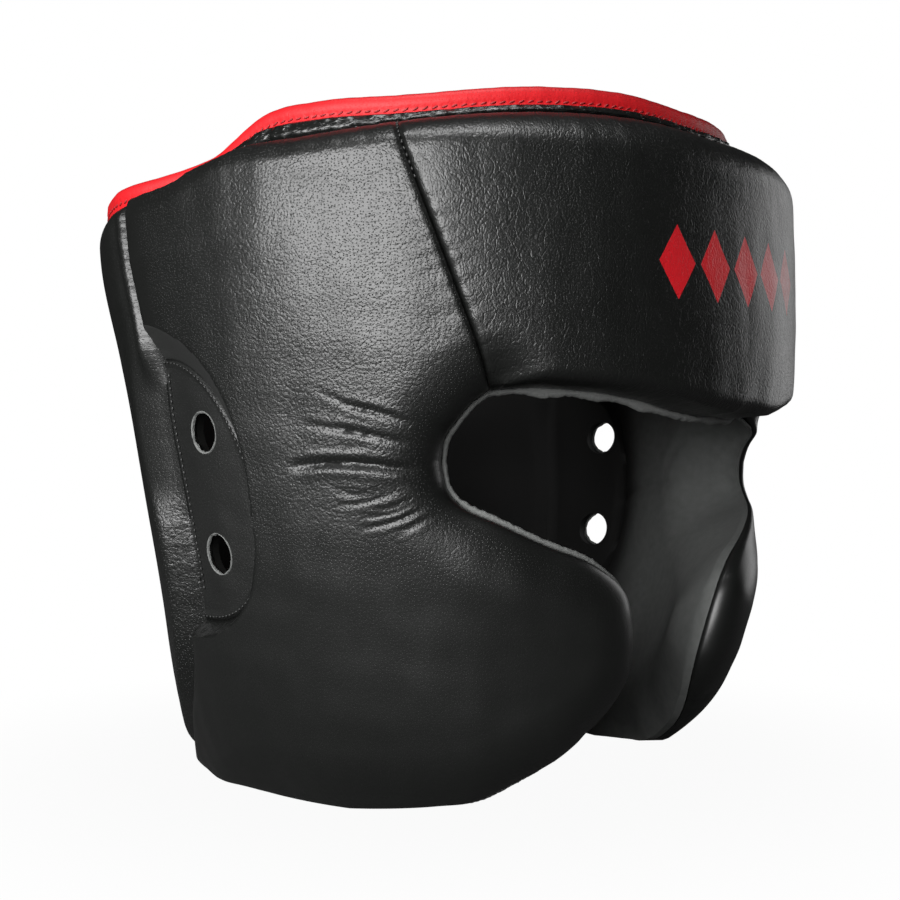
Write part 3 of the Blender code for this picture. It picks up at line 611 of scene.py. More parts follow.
def outlines():
    """The lines that bound the panels of the wearer's right half."""
    top_angle, top_height = seam_top()
    brow_start = np.array([BROW_EDGE[0][0] * OPENING_ANGLE, EYE_LINE + BROW_RISE])
    brow_end = np.array([BROW_SEAM_TOP_ANGLE, float(pad_top(BROW_SEAM_TOP_ANGLE))])
    low, high = (EAR_CUT_CENTRE + side * EAR_CUT_HEIGHT / 2.0 for side in (-1.0, 1.0))
    corner_start = -(1.0 - LOWER_CORNER ** LOWER_SQUARENESS) ** (1.0 / LOWER_SQUARENESS)
    corner_end = (1.0 - UPPER_CORNER ** UPPER_SQUARENESS) ** (1.0 / UPPER_SQUARENESS)
    chin = opening_line(CHIN_EDGE, 0.0, EYE_LINE)
    nape = level_line(float(back_seam_angle(0.0)), chin[0][0], np.zeros_like)
    cheek = opening_line(CHEEK_EDGE, 0.0, EYE_LINE)
    corner = opening_line(EYE_CORNER_EDGE, EYE_LINE, BROW_RISE)
    brow = opening_line(BROW_EDGE, EYE_LINE, BROW_RISE)
    face = np.vstack([cheek, corner[1:]])
    split = along(face, [FACE_SPLIT])[0]
    return {
        "floor": level_line(SLIT_ANGLE, float(back_seam_angle(0.0)), np.zeros_like),
        "chin": np.vstack([nape[:-1], chin]),
        "face": face,
        "brow": brow,
        "centre": np.linspace(brow[-1], [0.0, float(pad_top(0.0))], LINE_STEPS),
        "brow_seam": np.linspace(brow_start, brow_end, LINE_STEPS),
        "side_top": level_line(top_angle, BROW_SEAM_TOP_ANGLE, pad_top),
        "brow_top": level_line(BROW_SEAM_TOP_ANGLE, 0.0, pad_top),
        "back_top": level_line(SLIT_ANGLE, top_angle, pad_top),
        "low_seam": seam_line(0.0, low),
        "ear_seam": seam_line(low, high),
        "top_seam": seam_line(high, top_height),
        "ear_low": ear_cut_line(-1.0, corner_start),
        "ear_front": ear_cut_line(corner_start, corner_end),
        "ear_top": ear_cut_line(corner_end, 1.0)[::-1],
        "low_link": np.linspace(ear_cut_point(np.array(corner_start)), split, LINE_STEPS),
        "high_link": np.linspace(ear_cut_point(np.array(corner_end)), brow_start, LINE_STEPS),
    }


def split_columns(first, second, split):
    """Shares of a line whose first stretch ends at the split."""
    return np.concatenate([first * split, split + second[1:] * (1.0 - split)])


def panel_grids(lines, fineness=1.0):
    """Grids of the right half's panels, rows upwards and columns forwards."""
    def shares(count):
        return evenly(max(int(count * fineness), 4))
    ear, side, back, brow = shares(EAR_POINTS), shares(SIDE_POINTS), shares(BACK_POINTS), shares(BROW_POINTS)
    low, cut, top = shares(LOW_POINTS), shares(CUT_POINTS), shares(TOP_POINTS)
    chin_columns = split_columns(ear, side, CHIN_SPLIT)
    top_columns = split_columns(ear, side, TOP_SPLIT)
    ear_low = along(lines["ear_low"], ear)
    ear_top = along(lines["ear_top"], ear)
    low_link = along(lines["low_link"], side)
    high_link = along(lines["high_link"], side)
    low_seam = along(lines["low_seam"], low)
    ear_seam = along(lines["ear_seam"], cut)
    top_seam = along(lines["top_seam"], top)
    ear_front = along(lines["ear_front"], cut)
    brow_seam = along(lines["brow_seam"], top)
    seam = np.vstack([low_seam, ear_seam[1:], top_seam[1:]])
    fall = (lines["back_top"][0, 1] - seam[-1, 1]) * (seam[:, 1] / seam[-1, 1]) ** 4
    slit = np.stack([np.full(len(seam), SLIT_ANGLE), seam[:, 1] + fall], axis=-1)
    return {
        "back": patch(along(lines["floor"], back), along(lines["back_top"], back), slit, seam),
        "ear": patch(ear_low, ear_top, ear_seam, ear_front),
        "side_low": patch(along(lines["chin"], chin_columns), np.vstack([ear_low, low_link[1:]]),
                          low_seam, along(lines["face"], low * FACE_SPLIT)),
        "side_middle": patch(low_link, high_link, ear_front,
                             along(lines["face"], FACE_SPLIT + cut * (1.0 - FACE_SPLIT))),
        "side_top": patch(np.vstack([ear_top, high_link[1:]]), along(lines["side_top"], top_columns),
                          top_seam, brow_seam),
        "brow": patch(along(lines["brow"], brow), along(lines["brow_top"], brow),
                      brow_seam, along(lines["centre"], top)),
    }


def nearest(points, line):
    """Distance from each point to a line laid out flat, and how far along the line the nearest place is."""
    start = flat(line)[:-1]
    run = flat(line)[1:] - start
    size = np.linalg.norm(run, axis=1)
    place = np.concatenate([[0.0], np.cumsum(size)[:-1]])
    gaps = []
    places = []
    for block in np.array_split(flat(points), max(len(points) // 2000, 1)):
        gap = block[:, None, :] - start[None]
        share = np.clip((gap * run).sum(-1) / np.maximum(size ** 2, 1e-18), 0.0, 1.0)
        far = np.linalg.norm(gap - share[..., None] * run[None], axis=-1)
        best = far.argmin(axis=1)
        rows = np.arange(len(block))
        gaps.append(far[rows, best])
        places.append(place[best] + share[rows, best] * size[best])
    return np.concatenate(gaps), np.concatenate(places)


def distance(points, line):
    return nearest(points, line)[0]


def roll(gap, width, power=2.0):
    """1 at an edge, falling to 0 at the roll's width, as a quarter circle where the power is 2."""
    rest = 1.0 - np.clip(gap / width, 0.0, 1.0)
    return 1.0 - (1.0 - rest ** power) ** (1.0 / power)


def taper(gap, width):
    """1 at an edge, falling to 0 at the taper's width along a sine."""
    return 1.0 - np.sin(np.clip(gap / width, 0.0, 1.0) * math.pi / 2.0)


def soft_max(values, power=5.0):
    """Smooth maximum of several fields from 0 to 1."""
    return np.minimum(sum(value ** power for value in values) ** (1.0 / power), 1.0)


def waves(points, length, seed):
    """Gentle uneven swell between -1 and 1, with the given length between its crests."""
    draw = np.random.default_rng(seed)
    spots = flat(points)
    total = 0.0
    for turn, phase, stretch in zip(draw.uniform(0.0, math.pi, 5), draw.uniform(0.0, 2.0 * math.pi, 5),
                                    draw.uniform(0.75, 1.35, 5)):
        way = spots[:, 0] * math.cos(turn) + spots[:, 1] * math.sin(turn)
        total = total + np.sin(way * 2.0 * math.pi / (length * stretch) + phase)
    return total / 5.0


def swell(points, row):
    """Waves of a given height, length and seed."""
    height, length, seed = row
    return height * waves(points, length, seed)


def puckers(gap, place, row):
    """Small ripples of a given height, length, reach and seed that run out from a stitched seam."""
    height, length, reach, seed = row
    draw = np.random.default_rng(seed)
    shift = draw.uniform(0.0, 2.0 * math.pi, 3)
    wave = (np.sin(place * 2.0 * math.pi / length + shift[0] + 1.5 * np.sin(place * 180.0 + shift[1]))
            + 0.5 * np.sin(place * 2.0 * math.pi / (0.43 * length) + shift[2]))
    return height * wave / 1.5 * np.exp(-gap / reach)


def fold_relief(points):
    """Depth of the creases that gather at the corner of the eye."""
    total = np.zeros(len(points))
    for row in FOLDS:
        ends = np.array(row[:6]).reshape(3, 2)
        line = smooth_line(ends, 8)
        gap, place = nearest(points, line)
        size = np.linalg.norm(np.diff(flat(line), axis=0), axis=1).sum()
        share = place / size
        fade = np.sin(np.clip(share, 0.0, 1.0) * math.pi) ** 0.8
        depth, width = row[6] * 0.001, row[7] * 0.001
        lip, lip_place, lip_width = FOLD_LIP
        groove = np.exp(-(gap / width) ** 2)
        groove = groove - lip * np.exp(-((gap - lip_place * width) / (lip_width * width)) ** 2)
        total += depth * fade * groove
    return total


def ear_cut_wall(points, cut):
    """1 at the foot of the cut-out's wall, falling evenly to 0 at its crisp upper edge."""
    rise = (points[:, 1] - EAR_CUT_CENTRE) / (EAR_CUT_HEIGHT / 2.0)
    width = EAR_WALL + EAR_WALL_SPREAD * step(rise, -0.2, 1.0)
    return np.clip(1.0 - cut / width, 0.0, 1.0)


def back_line(lines):
    return np.vstack([lines["low_seam"], lines["ear_seam"][1:], lines["top_seam"][1:]])


def cut_line(lines):
    return np.vstack([lines["ear_low"], lines["ear_front"][1:], lines["ear_top"][::-1][1:]])


def front_depths(points, lines):
    """Depths of the outer and inner skins of the brow and side pads."""
    face = distance(points, lines["face"])
    brow = distance(points, lines["brow"])
    chin = distance(points, lines["chin"])
    top, top_place = nearest(points, np.vstack([lines["side_top"], lines["brow_top"][1:]]))
    cut, cut_place = nearest(points, cut_line(lines))
    seam = distance(points, lines["low_seam"])
    high_seam, high_place = nearest(points, lines["top_seam"])
    brow_seam, brow_place = nearest(points, lines["brow_seam"])
    near_eye = np.exp(-(distance(points, lines["face"][-60:]) / EYE_ROLL_REACH) ** 2)
    face_width = CHEEK_ROLL + (EYE_ROLL - CHEEK_ROLL) * near_eye
    chin_width = CHEEK_ROLL + (NAPE_ROLL - CHEEK_ROLL) * step(points[:, 0], *NAPE_FADE_ANGLES)
    top_width = FRONT_TOP_ROLL + (TOP_ROLL - FRONT_TOP_ROLL) * step(points[:, 0], *TOP_ROLL_ANGLES)
    wall = ear_cut_wall(points, cut)
    outer = soft_max([roll(face, face_width, FACE_POWER), roll(chin, chin_width, CHIN_POWER),
                      roll(brow, BROW_ROLL, BROW_POWER),
                      roll(top, top_width), wall, roll(seam, BACK_ROLL), roll(high_seam, BACK_ROLL * 0.75)])
    inner = np.max([taper(gap, LINING_ROLL) for gap in (face, brow, chin, top, cut, seam, high_seam)], axis=0)
    depth = seam_depth(points)
    half_edge = edge_thickness(points) / 2.0
    outside = (depth - half_edge) * outer
    calm = 1.0 - outer
    outside = outside + SEAM_DEPTH * roll(brow_seam, SEAM_ROLL) * calm
    for row in PAD_SWELLS:
        outside = outside + swell(points, row) * calm
    outside = outside + puckers(brow_seam, brow_place, BROW_SEAM_PUCKERS) * calm
    outside = outside + puckers(top, top_place, TOP_PUCKERS)
    outside = outside + puckers(high_seam, high_place, HIGH_SEAM_PUCKERS)
    low_wall = step(EAR_CUT_CENTRE - points[:, 1], *LOW_WALL_DROPS) * wall * (1.0 - wall) * 4.0
    outside = outside + puckers(cut, cut_place, EAR_PUCKERS) * low_wall
    inside = PAD_THICKNESS - (PAD_THICKNESS - depth - half_edge) * inner
    return outside, inside


def side_depths(points, lines):
    """Skins of a side pad, with its folds."""
    outside, inside = front_depths(points, lines)
    return outside + fold_relief(points), inside


def back_front(gap, height, depth):
    """Share of the seam's depth beside the seam behind the ear: a facet below, a narrow roll above."""
    slope = FACET_SLOPES[0] + (FACET_SLOPES[1] - FACET_SLOPES[0]) * step(height, *FACET_HEIGHTS)
    facet = np.clip(1.02 - gap / (np.maximum(depth, 0.004) / slope), 0.0, 1.0)
    soft = FACET_SOFTENING
    facet = np.where(facet < soft, facet ** 2 / (2.0 * soft), facet - soft / 2.0)
    piped = np.interp(gap, RIDGE[0], RIDGE[1])
    return facet + (piped - facet) * step(height, *RIDGE_HEIGHTS)


def back_depths(points, lines):
    """Depths of the outer and inner skins of a back pad."""
    seam, place = nearest(points, back_line(lines))
    top = distance(points, lines["back_top"])
    foot = np.maximum(points[:, 1] - BINDING_SEAT, 0.0)
    slit = (SLIT_ANGLE - points[:, 0]) * METRES_PER_DEGREE
    depth = seam_depth(points)
    front = back_front(seam, points[:, 1], depth)
    outer = soft_max([front] + [roll(gap, BACK_ROLL) for gap in (top, foot, slit)])
    inner = np.max([taper(gap, BACK_ROLL) for gap in (seam, top, foot, slit)], axis=0)
    half_edge = edge_thickness(points) / 2.0
    inside = BACK_PAD_THICKNESS - (BACK_PAD_THICKNESS - depth - half_edge) * inner
    outside = (depth - half_edge) * outer
    outside = outside + swell(points, BACK_SWELL) * (1.0 - outer)
    height = points[:, 1]
    behind_ear = step(height, *CALM_HEIGHTS[:2]) * (1.0 - step(height, *CALM_HEIGHTS[2:]))
    calm = step(seam, 0.0, 0.002) * (1.0 - 0.75 * behind_ear)
    for row in BACK_PUCKERS:
        outside = outside + puckers(seam, place, row) * calm
    return outside, inside


def seam_depths(points, lines):
    """Depths of the two faces of leather that lies at the seams' depth."""
    depth = seam_depth(points)
    half_edge = edge_thickness(points) / 2.0
    return depth - half_edge, depth + half_edge


def joined(grids):
    """One sheet from grids that share sides: its points, its faces and each point's first grid."""
    index = {}
    points = []
    faces = []
    owner = []
    for number, grid in enumerate(grids):
        rows, columns = grid.shape[:2]
        keys = np.round(flat(grid) * 1e6 / 4.0).astype(int)
        ids = np.zeros((rows, columns), dtype=int)
        for j in range(rows):
            for i in range(columns):
                key = (keys[j, i, 0], keys[j, i, 1])
                if key not in index:
                    index[key] = len(points)
                    points.append(grid[j, i])
                    owner.append(number)
                ids[j, i] = index[key]
        for j in range(rows - 1):
            for i in range(columns - 1):
                face = [ids[j, i], ids[j, i + 1], ids[j + 1, i + 1], ids[j + 1, i]]
                kept = [corner for k, corner in enumerate(face) if corner != face[k - 1]]
                if len(set(kept)) > 2:
                    faces.append(kept)
    return np.array(points), faces, np.array(owner)


def rim_edges(faces):
    """Directed edges of a sheet that have no face on their other side."""
    edges = {(face[k - 1], face[k]) for face in faces for k in range(len(face))}
    return [edge for edge in sorted(edges) if (edge[1], edge[0]) not in edges]


def two_skins(points, faces, outer, inner, open_middle=False):
    """Closed solid between two skins of a sheet, given their depths, with each corner's angle and height."""
    count = len(points)
    vertices = np.vstack([surface_point(points, outer), surface_point(points, inner)])
    solid = [list(face) for face in faces]
    solid += [[corner + count for corner in reversed(face)] for face in faces]
    for start, end in rim_edges(faces):
        if open_middle and abs(points[start][0]) < TOUCHING and abs(points[end][0]) < TOUCHING:
            continue
        solid.append([end, start, start + count, end + count])
    return vertices, solid, np.vstack([points, points])


def mirrored(vertices, faces, places):
    """The wearer's left half of a right half."""
    return (vertices * np.array([-1.0, 1.0, 1.0]), [face[::-1] for face in faces],
            places * np.array([-1.0, 1.0]))


def both_halves(vertices, faces, places):
    """A half that is open at the middle plane, closed by its mirror image."""
    count = len(vertices)
    middle = np.abs(vertices[:, 0]) < 1e-5
    vertices = vertices.copy()
    vertices[middle, 0] = 0.0
    other = np.arange(count) + count
    other[middle] = np.arange(count)[middle]
    left, _, left_places = mirrored(vertices, [], places)
    faces = faces + [[int(other[corner]) for corner in reversed(face)] for face in faces]
    return np.vstack([vertices, left]), faces, np.vstack([places, left_places])


def leant(spots):
    """Vertices with the left cheek's foot leaning inwards a little, as the soft guard stands."""
    spots = np.array(spots, dtype=float)
    low = 1.0 - step(spots[:, 2], 0.004, LEAN_HEIGHT)
    ahead = step(-spots[:, 1], -0.01, 0.05)
    left = step(spots[:, 0], 0.0, 0.03)
    spots[:, :2] += (low * ahead * left)[:, None] * np.array(LEAN)
    spots[:, 2] -= SAG * ahead * left * np.exp(-((spots[:, 2] - SAG_HEIGHT) / SAG_REACH) ** 2)
    return spots


def pressed(vertices, places, lines):
    """Vertices of the left half with the pad's edge pressed outwards at the notch beside the eye."""
    right = np.abs(places)
    height = right[:, 1]
    share = step(height, *PRESS_HEIGHTS[:2]) * (1.0 - step(height, *PRESS_HEIGHTS[2:]))
    share = share * (places[:, 0] < 0.0)
    share = EYE_PRESS * share * np.exp(-(distance(right, lines["face"]) / PRESS_REACH) ** 2)
    outside = surface_point(right, 0.0) * np.array([-1.0, 1.0, 1.0])
    return vertices + (outside - vertices) * share[:, None]


def add_piece(name, materials, vertices, faces, places=None, fields=None, second=None):
    """Mesh object of the guard; places become its UV map, in metres on the flat panel.

    The fields are named values of its vertices, and second names the faces of the second material.
    """
    mesh = bpy.data.meshes.new(name)
    mesh.from_pydata(leant(vertices).tolist(), [], faces)
    if places is not None:
        layer = mesh.uv_layers.new(name="panel")
        corners = np.zeros(len(mesh.loops), dtype=int)
        mesh.loops.foreach_get("vertex_index", corners)
        layer.data.foreach_set("uv", flat(places)[corners].ravel())
    for key, values in (fields or {}).items():
        mesh.attributes.new(key, "FLOAT", "POINT").data.foreach_set("value", np.asarray(values, dtype=float))
    for material in (materials if isinstance(materials, (list, tuple)) else [materials]):
        mesh.materials.append(material)
    if second is not None:
        mesh.polygons.foreach_set("material_index", np.asarray(second, dtype=int))
    mesh.shade_smooth()
    mesh.set_sharp_from_angle(angle=math.radians(SHARP_ANGLE))
    drop_loose(mesh)
    piece = bpy.data.objects.new(name, mesh)
    bpy.context.scene.collection.objects.link(piece)
    return piece


def drop_loose(mesh):
    """Remove vertices that no face uses."""
    sheet = bmesh.new()
    sheet.from_mesh(mesh)
    bmesh.ops.delete(sheet, geom=[v for v in sheet.verts if not v.link_faces], context="VERTS")
    sheet.to_mesh(mesh)
    sheet.free()


def realised(piece):
    """Turn a piece with modifiers into a plain mesh."""
    graph = bpy.context.evaluated_depsgraph_get()
    mesh = bpy.data.meshes.new_from_object(piece.evaluated_get(graph))
    piece.modifiers.clear()
    piece.data = mesh


def finish_piece(piece, node=None):
    """Every piece rides on the one body, and may stand for a CAD node."""
    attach(piece, "root")
    if node is not None:
        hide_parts(node)


# Materials

def new_material(name):
    material = bpy.data.materials.new(name)
    material.use_nodes = True
    return material, material.node_tree, material.node_tree.nodes["Principled BSDF"]


def add_node(tree, kind, values=None, **settings):
    """Shader node with its settings and its constant inputs."""
    node = tree.nodes.new(kind)
    for key, value in settings.items():
        setattr(node, key, value)
    for key, value in (values or {}).items():
        node.inputs[key].default_value = value
    return node


def sums(tree, operation, first, second):
    """Math node; each input is a socket or a number."""
    node = tree.nodes.new("ShaderNodeMath")
    node.operation = operation
    for socket, value in zip(node.inputs, (first, second)):
        if hasattr(value, "is_output"):
            tree.links.new(value, socket)
        elif value is not None:
            socket.default_value = value
    return node.outputs[0]


def stretched(tree, scale):
    """The piece's own flat coordinates, scaled."""
    uv = add_node(tree, "ShaderNodeUVMap", uv_map="panel")
    mapping = add_node(tree, "ShaderNodeMapping", {"Scale": (*scale, 1.0)})
    tree.links.new(uv.outputs["UV"], mapping.inputs["Vector"])
    return mapping.outputs["Vector"]


def noise(tree, scale, detail, vector=None):
    node = add_node(tree, "ShaderNodeTexNoise", {"Scale": scale, "Detail": detail})
    tree.links.new(vector if vector is not None else stretched(tree, (1.0, 1.0)), node.inputs["Vector"])
    return node.outputs["Fac"]


def ranged(tree, value, low, high, start=0.0, end=1.0):
    """Smooth step of a value from one range to another."""
    limits = {"From Min": low, "From Max": high, "To Min": start, "To Max": end}
    node = add_node(tree, "ShaderNodeMapRange", limits, interpolation_type="SMOOTHSTEP")
    tree.links.new(value, node.inputs["Value"])
    return node.outputs["Result"]


def blended(tree, share, first, second):
    """Colour between two, each a colour or a socket."""
    node = add_node(tree, "ShaderNodeMix", data_type="RGBA")
    tree.links.new(share, node.inputs[0])
    for socket, value in ((node.inputs[6], first), (node.inputs[7], second)):
        if hasattr(value, "is_output"):
            tree.links.new(value, socket)
        else:
            socket.default_value = (*value, 1.0)
    return node.outputs[2]


def cells(tree, scale, vector):
    node = add_node(tree, "ShaderNodeTexVoronoi", {"Scale": scale, "Randomness": PIT_RANDOMNESS},
                    voronoi_dimensions="2D")
    tree.links.new(vector, node.inputs["Vector"])
    return node.outputs["Distance"]


def leather(name, colour, roughness, grain, pit=1.0, crease=1.0, stretch=(1.0, 1.0), field=None, relief=0.00016,
            gloss=0.5):
    """Grained leather: pits, fine pebbles and faint creases, all on the piece's flat coordinates.

    Where a field of the piece's vertices is named, it gives the strength of the relief.
    """
    material, tree, shader = new_material(name)
    place = stretched(tree, stretch)
    pits = ranged(tree, cells(tree, grain, place), *PIT_REACH)
    pebbles = noise(tree, grain * PEBBLE_FINENESS, 1.0, place)
    unevenness = noise(tree, UNEVEN_SCALE, 3.0)
    ridge = sums(tree, "ABSOLUTE", sums(tree, "SUBTRACT", noise(tree, CREASE_SCALE, 2.0, place), 0.5), None)
    creases = ranged(tree, ridge, 0.0, CREASE_REACH)
    height = sums(tree, "MULTIPLY", pits, pit)
    for part, weight in ((pebbles, PEBBLE_WEIGHT), (creases, CREASE_WEIGHT * crease),
                         (unevenness, UNEVEN_WEIGHT)):
        height = sums(tree, "ADD", height, sums(tree, "MULTIPLY", part, weight))
    bump = add_node(tree, "ShaderNodeBump", {"Strength": 1.0, "Distance": relief})
    tree.links.new(height, bump.inputs["Height"])
    if field is not None:
        mask = add_node(tree, "ShaderNodeAttribute", attribute_name=field)
        tree.links.new(mask.outputs["Fac"], bump.inputs["Strength"])
    tree.links.new(bump.outputs["Normal"], shader.inputs["Normal"])
    dark = tuple(PIT_DARKNESS * value for value in colour)
    tree.links.new(blended(tree, pits, dark, colour), shader.inputs["Base Color"])
    rough = sums(tree, "ADD", sums(tree, "MULTIPLY", unevenness, UNEVEN_GLOSS), roughness - UNEVEN_GLOSS / 2.0)
    rough = sums(tree, "ADD", rough, sums(tree, "MULTIPLY", sums(tree, "SUBTRACT", 1.0, pits), PIT_DULLNESS))
    tree.links.new(rough, shader.inputs["Roughness"])
    shader.inputs["Specular IOR Level"].default_value = gloss
    return material


def printed(material):
    """Add a row of plain red diamonds to the forehead's leather."""
    tree = material.node_tree
    shader = tree.nodes["Principled BSDF"]
    uv = add_node(tree, "ShaderNodeUVMap", uv_map="panel")
    split = add_node(tree, "ShaderNodeSeparateXYZ")
    tree.links.new(uv.outputs["UV"], split.inputs["Vector"])
    across = split.outputs["X"]
    cell = sums(tree, "PINGPONG", across, MOTIF_PITCH / 2.0)
    side = sums(tree, "DIVIDE", cell, MOTIF_HALF_WIDTH)
    rise = sums(tree, "ABSOLUTE", sums(tree, "SUBTRACT", split.outputs["Y"], MOTIF_HEIGHT), None)
    rise = sums(tree, "DIVIDE", rise, MOTIF_HALF_HEIGHT)
    diamond = sums(tree, "LESS_THAN", sums(tree, "ADD", side, rise), 1.0)
    inside = sums(tree, "LESS_THAN", sums(tree, "ABSOLUTE", across, None), MOTIF_PITCH * MOTIF_COUNT / 2.0)
    mask = sums(tree, "MULTIPLY", diamond, inside)
    ground = shader.inputs["Base Color"].links[0].from_socket
    tree.links.new(blended(tree, mask, ground, PRINT_COLOUR), shader.inputs["Base Color"])
    return material


def plain(name, colour, roughness, grain_scale=900.0, relief=0.00008, gloss=0.5, field=None, painted_shade_colour=None):
    """Matt material with a fine unevenness: suede, thread, raw edges and lining.

    Where a field of the piece's vertices is named, it paints light and shade into the colour: the painted shade
    colour at 0, the full colour at 1.
    """
    material, tree, shader = new_material(name)
    coords = add_node(tree, "ShaderNodeTexCoord")
    grain = add_node(tree, "ShaderNodeTexNoise", {"Scale": grain_scale, "Detail": 3.0})
    tree.links.new(coords.outputs["Object"], grain.inputs["Vector"])
    bump = add_node(tree, "ShaderNodeBump", {"Strength": 1.0, "Distance": relief})
    tree.links.new(grain.outputs["Fac"], bump.inputs["Height"])
    tree.links.new(bump.outputs["Normal"], shader.inputs["Normal"])
    dark = tuple(0.75 * value for value in colour)
    shade = blended(tree, grain.outputs["Fac"], dark, tuple(1.25 * value for value in colour))
    if field is not None:
        mask = add_node(tree, "ShaderNodeAttribute", attribute_name=field)
        shade = blended(tree, mask.outputs["Fac"], painted_shade_colour, shade)
    tree.links.new(shade, shader.inputs["Base Color"])
    shader.inputs["Roughness"].default_value = roughness
    shader.inputs["Specular IOR Level"].default_value = gloss
    return material


def make_materials():
    return {
        "forehead": printed(leather("forehead_leather", (0.0052, 0.0056, 0.0052), 0.35, 1300.0, 0.4, 1.4,
                                    (1.25, 0.8), relief=0.00009)),
        "side": leather("pebbled_leather", (0.0060, 0.0064, 0.0060), 0.35, 1040.0, 1.1, 0.9, field="grain",
                        relief=0.00013),
        "back": leather("glossy_leather", (0.0058, 0.0062, 0.0058), 0.34, 1000.0, 0.9, 1.2, field="grain",
                        relief=0.00016),
        "patch": leather("patch_leather", (0.0065, 0.0069, 0.0065), 0.46, 1100.0, 0.6, 0.8, relief=0.00008),
        "collar": leather("collar_leather", (0.0055, 0.0059, 0.0055), 0.28, 800.0, 0.5, 1.5, (0.4, 1.3),
                          relief=0.00013),
        "red": leather("red_leather", (0.52, 0.010, 0.014), 0.50, 900.0, 0.25, 0.7, relief=0.00006, gloss=0.25),
        "strap": leather("strap_leather", (0.0075, 0.0080, 0.0075), 0.45, 760.0, 0.8, 0.8, relief=0.0001),
        # The lining's pale colour is painted light; its shade field blends it towards the painted shade colour
        # at the back
        "lining": plain("lining_leather", (0.082, 0.085, 0.0825), 0.66, 350.0, 0.00005, 0.2, "shade",
                        (0.0045, 0.0045, 0.0042)),
        "wall": plain("gusset_cloth", (0.018, 0.0187, 0.018), 0.75, 1500.0, 0.00004, 0.3),
        "suede": plain("raw_suede", (0.150, 0.154, 0.150), 0.95, 1300.0, 0.00030, 0.1),
        "thread": plain("black_thread", (0.020, 0.0205, 0.020), 0.45, 2500.0, 0.00004),
        "red_thread": plain("red_thread", (0.26, 0.006, 0.009), 0.55, 2500.0, 0.00004),
    }


# Stitches

# Parts of the group that lays the stitches: name, kind, settings, constant inputs
STITCH_PARTS = (
    ("given", "NodeGroupInput", {}, {}),
    ("path", "GeometryNodeMeshToCurve", {}, {}),
    ("points", "GeometryNodeResampleCurve", {"mode": "LENGTH"}, {}),
    ("tangent", "GeometryNodeInputTangent", {}, {}),
    ("outward", "GeometryNodeInputNamedAttribute", {"data_type": "FLOAT_VECTOR"}, {"Name": "outward"}),
    ("along_row", "FunctionNodeAlignRotationToVector", {"axis": "X"}, {}),
    ("upright", "FunctionNodeAlignRotationToVector", {"axis": "Z", "pivot_axis": "X"}, {}),
    ("least", "ShaderNodeMath", {"operation": "SUBTRACT"}, {}),
    ("most", "ShaderNodeMath", {"operation": "ADD"}, {}),
    ("spin", "FunctionNodeRandomValue", {"data_type": "FLOAT"}, {"Seed": 7}),
    ("turn", "ShaderNodeCombineXYZ", {}, {}),
    ("as_turn", "FunctionNodeEulerToRotation", {}, {}),
    ("turned", "FunctionNodeRotateRotation", {"rotation_space": "LOCAL"}, {}),
    ("bead", "GeometryNodeMeshUVSphere", {}, {"Segments": 8, "Rings": 5, "Radius": 0.5}),
    ("smooth", "GeometryNodeSetShadeSmooth", {}, {}),
    ("laid", "GeometryNodeInstanceOnPoints", {}, {}),
    ("real", "GeometryNodeRealizeInstances", {}, {}),
    ("thread", "GeometryNodeSetMaterial", {}, {}),
    ("result", "NodeGroupOutput", {}, {}),
)
# Its links: part and output, part and input
STITCH_LINKS = (
    ("given", "Geometry", "path", "Mesh"),
    ("path", "Curve", "points", "Curve"),
    ("given", "Spacing", "points", "Length"),
    ("tangent", "Tangent", "along_row", "Vector"),
    ("along_row", "Rotation", "upright", "Rotation"),
    ("outward", "Attribute", "upright", "Vector"),
    ("given", "Slant", "least", 0),
    ("given", "Unevenness", "least", 1),
    ("given", "Slant", "most", 0),
    ("given", "Unevenness", "most", 1),
    ("least", 0, "spin", 2),
    ("most", 0, "spin", 3),
    ("spin", 1, "turn", "Z"),
    ("turn", "Vector", "as_turn", "Euler"),
    ("upright", "Rotation", "turned", "Rotation"),
    ("as_turn", "Rotation", "turned", "Rotate By"),
    ("points", "Curve", "laid", "Points"),
    ("bead", "Mesh", "smooth", "Geometry"),
    ("smooth", "Geometry", "laid", "Instance"),
    ("turned", "Rotation", "laid", "Rotation"),
    ("given", "Stitch Size", "laid", "Scale"),
    ("laid", "Instances", "real", "Geometry"),
    ("real", "Geometry", "thread", "Geometry"),
    ("given", "Thread", "thread", "Material"),
    ("thread", "Geometry", "result", "Geometry"),
)


def stitch_tree():
    """Geometry Nodes group that lays one bead of thread at each step along an edge path."""
    tree = bpy.data.node_groups.new("stitch_row", "GeometryNodeTree")
    sockets = {}
    for name, kind in (("Geometry", "Geometry"), ("Spacing", "Float"), ("Stitch Size", "Vector"),
                       ("Slant", "Float"), ("Unevenness", "Float"), ("Thread", "Material")):
        sockets[name] = tree.interface.new_socket(name, in_out="INPUT", socket_type="NodeSocket" + kind)
    tree.interface.new_socket("Geometry", in_out="OUTPUT", socket_type="NodeSocketGeometry")
    parts = {name: add_node(tree, kind, values, **settings) for name, kind, settings, values in STITCH_PARTS}
    for source, output, target, socket in STITCH_LINKS:
        tree.links.new(parts[source].outputs[output], parts[target].inputs[socket])
    return tree, {name: socket.identifier for name, socket in sockets.items()}


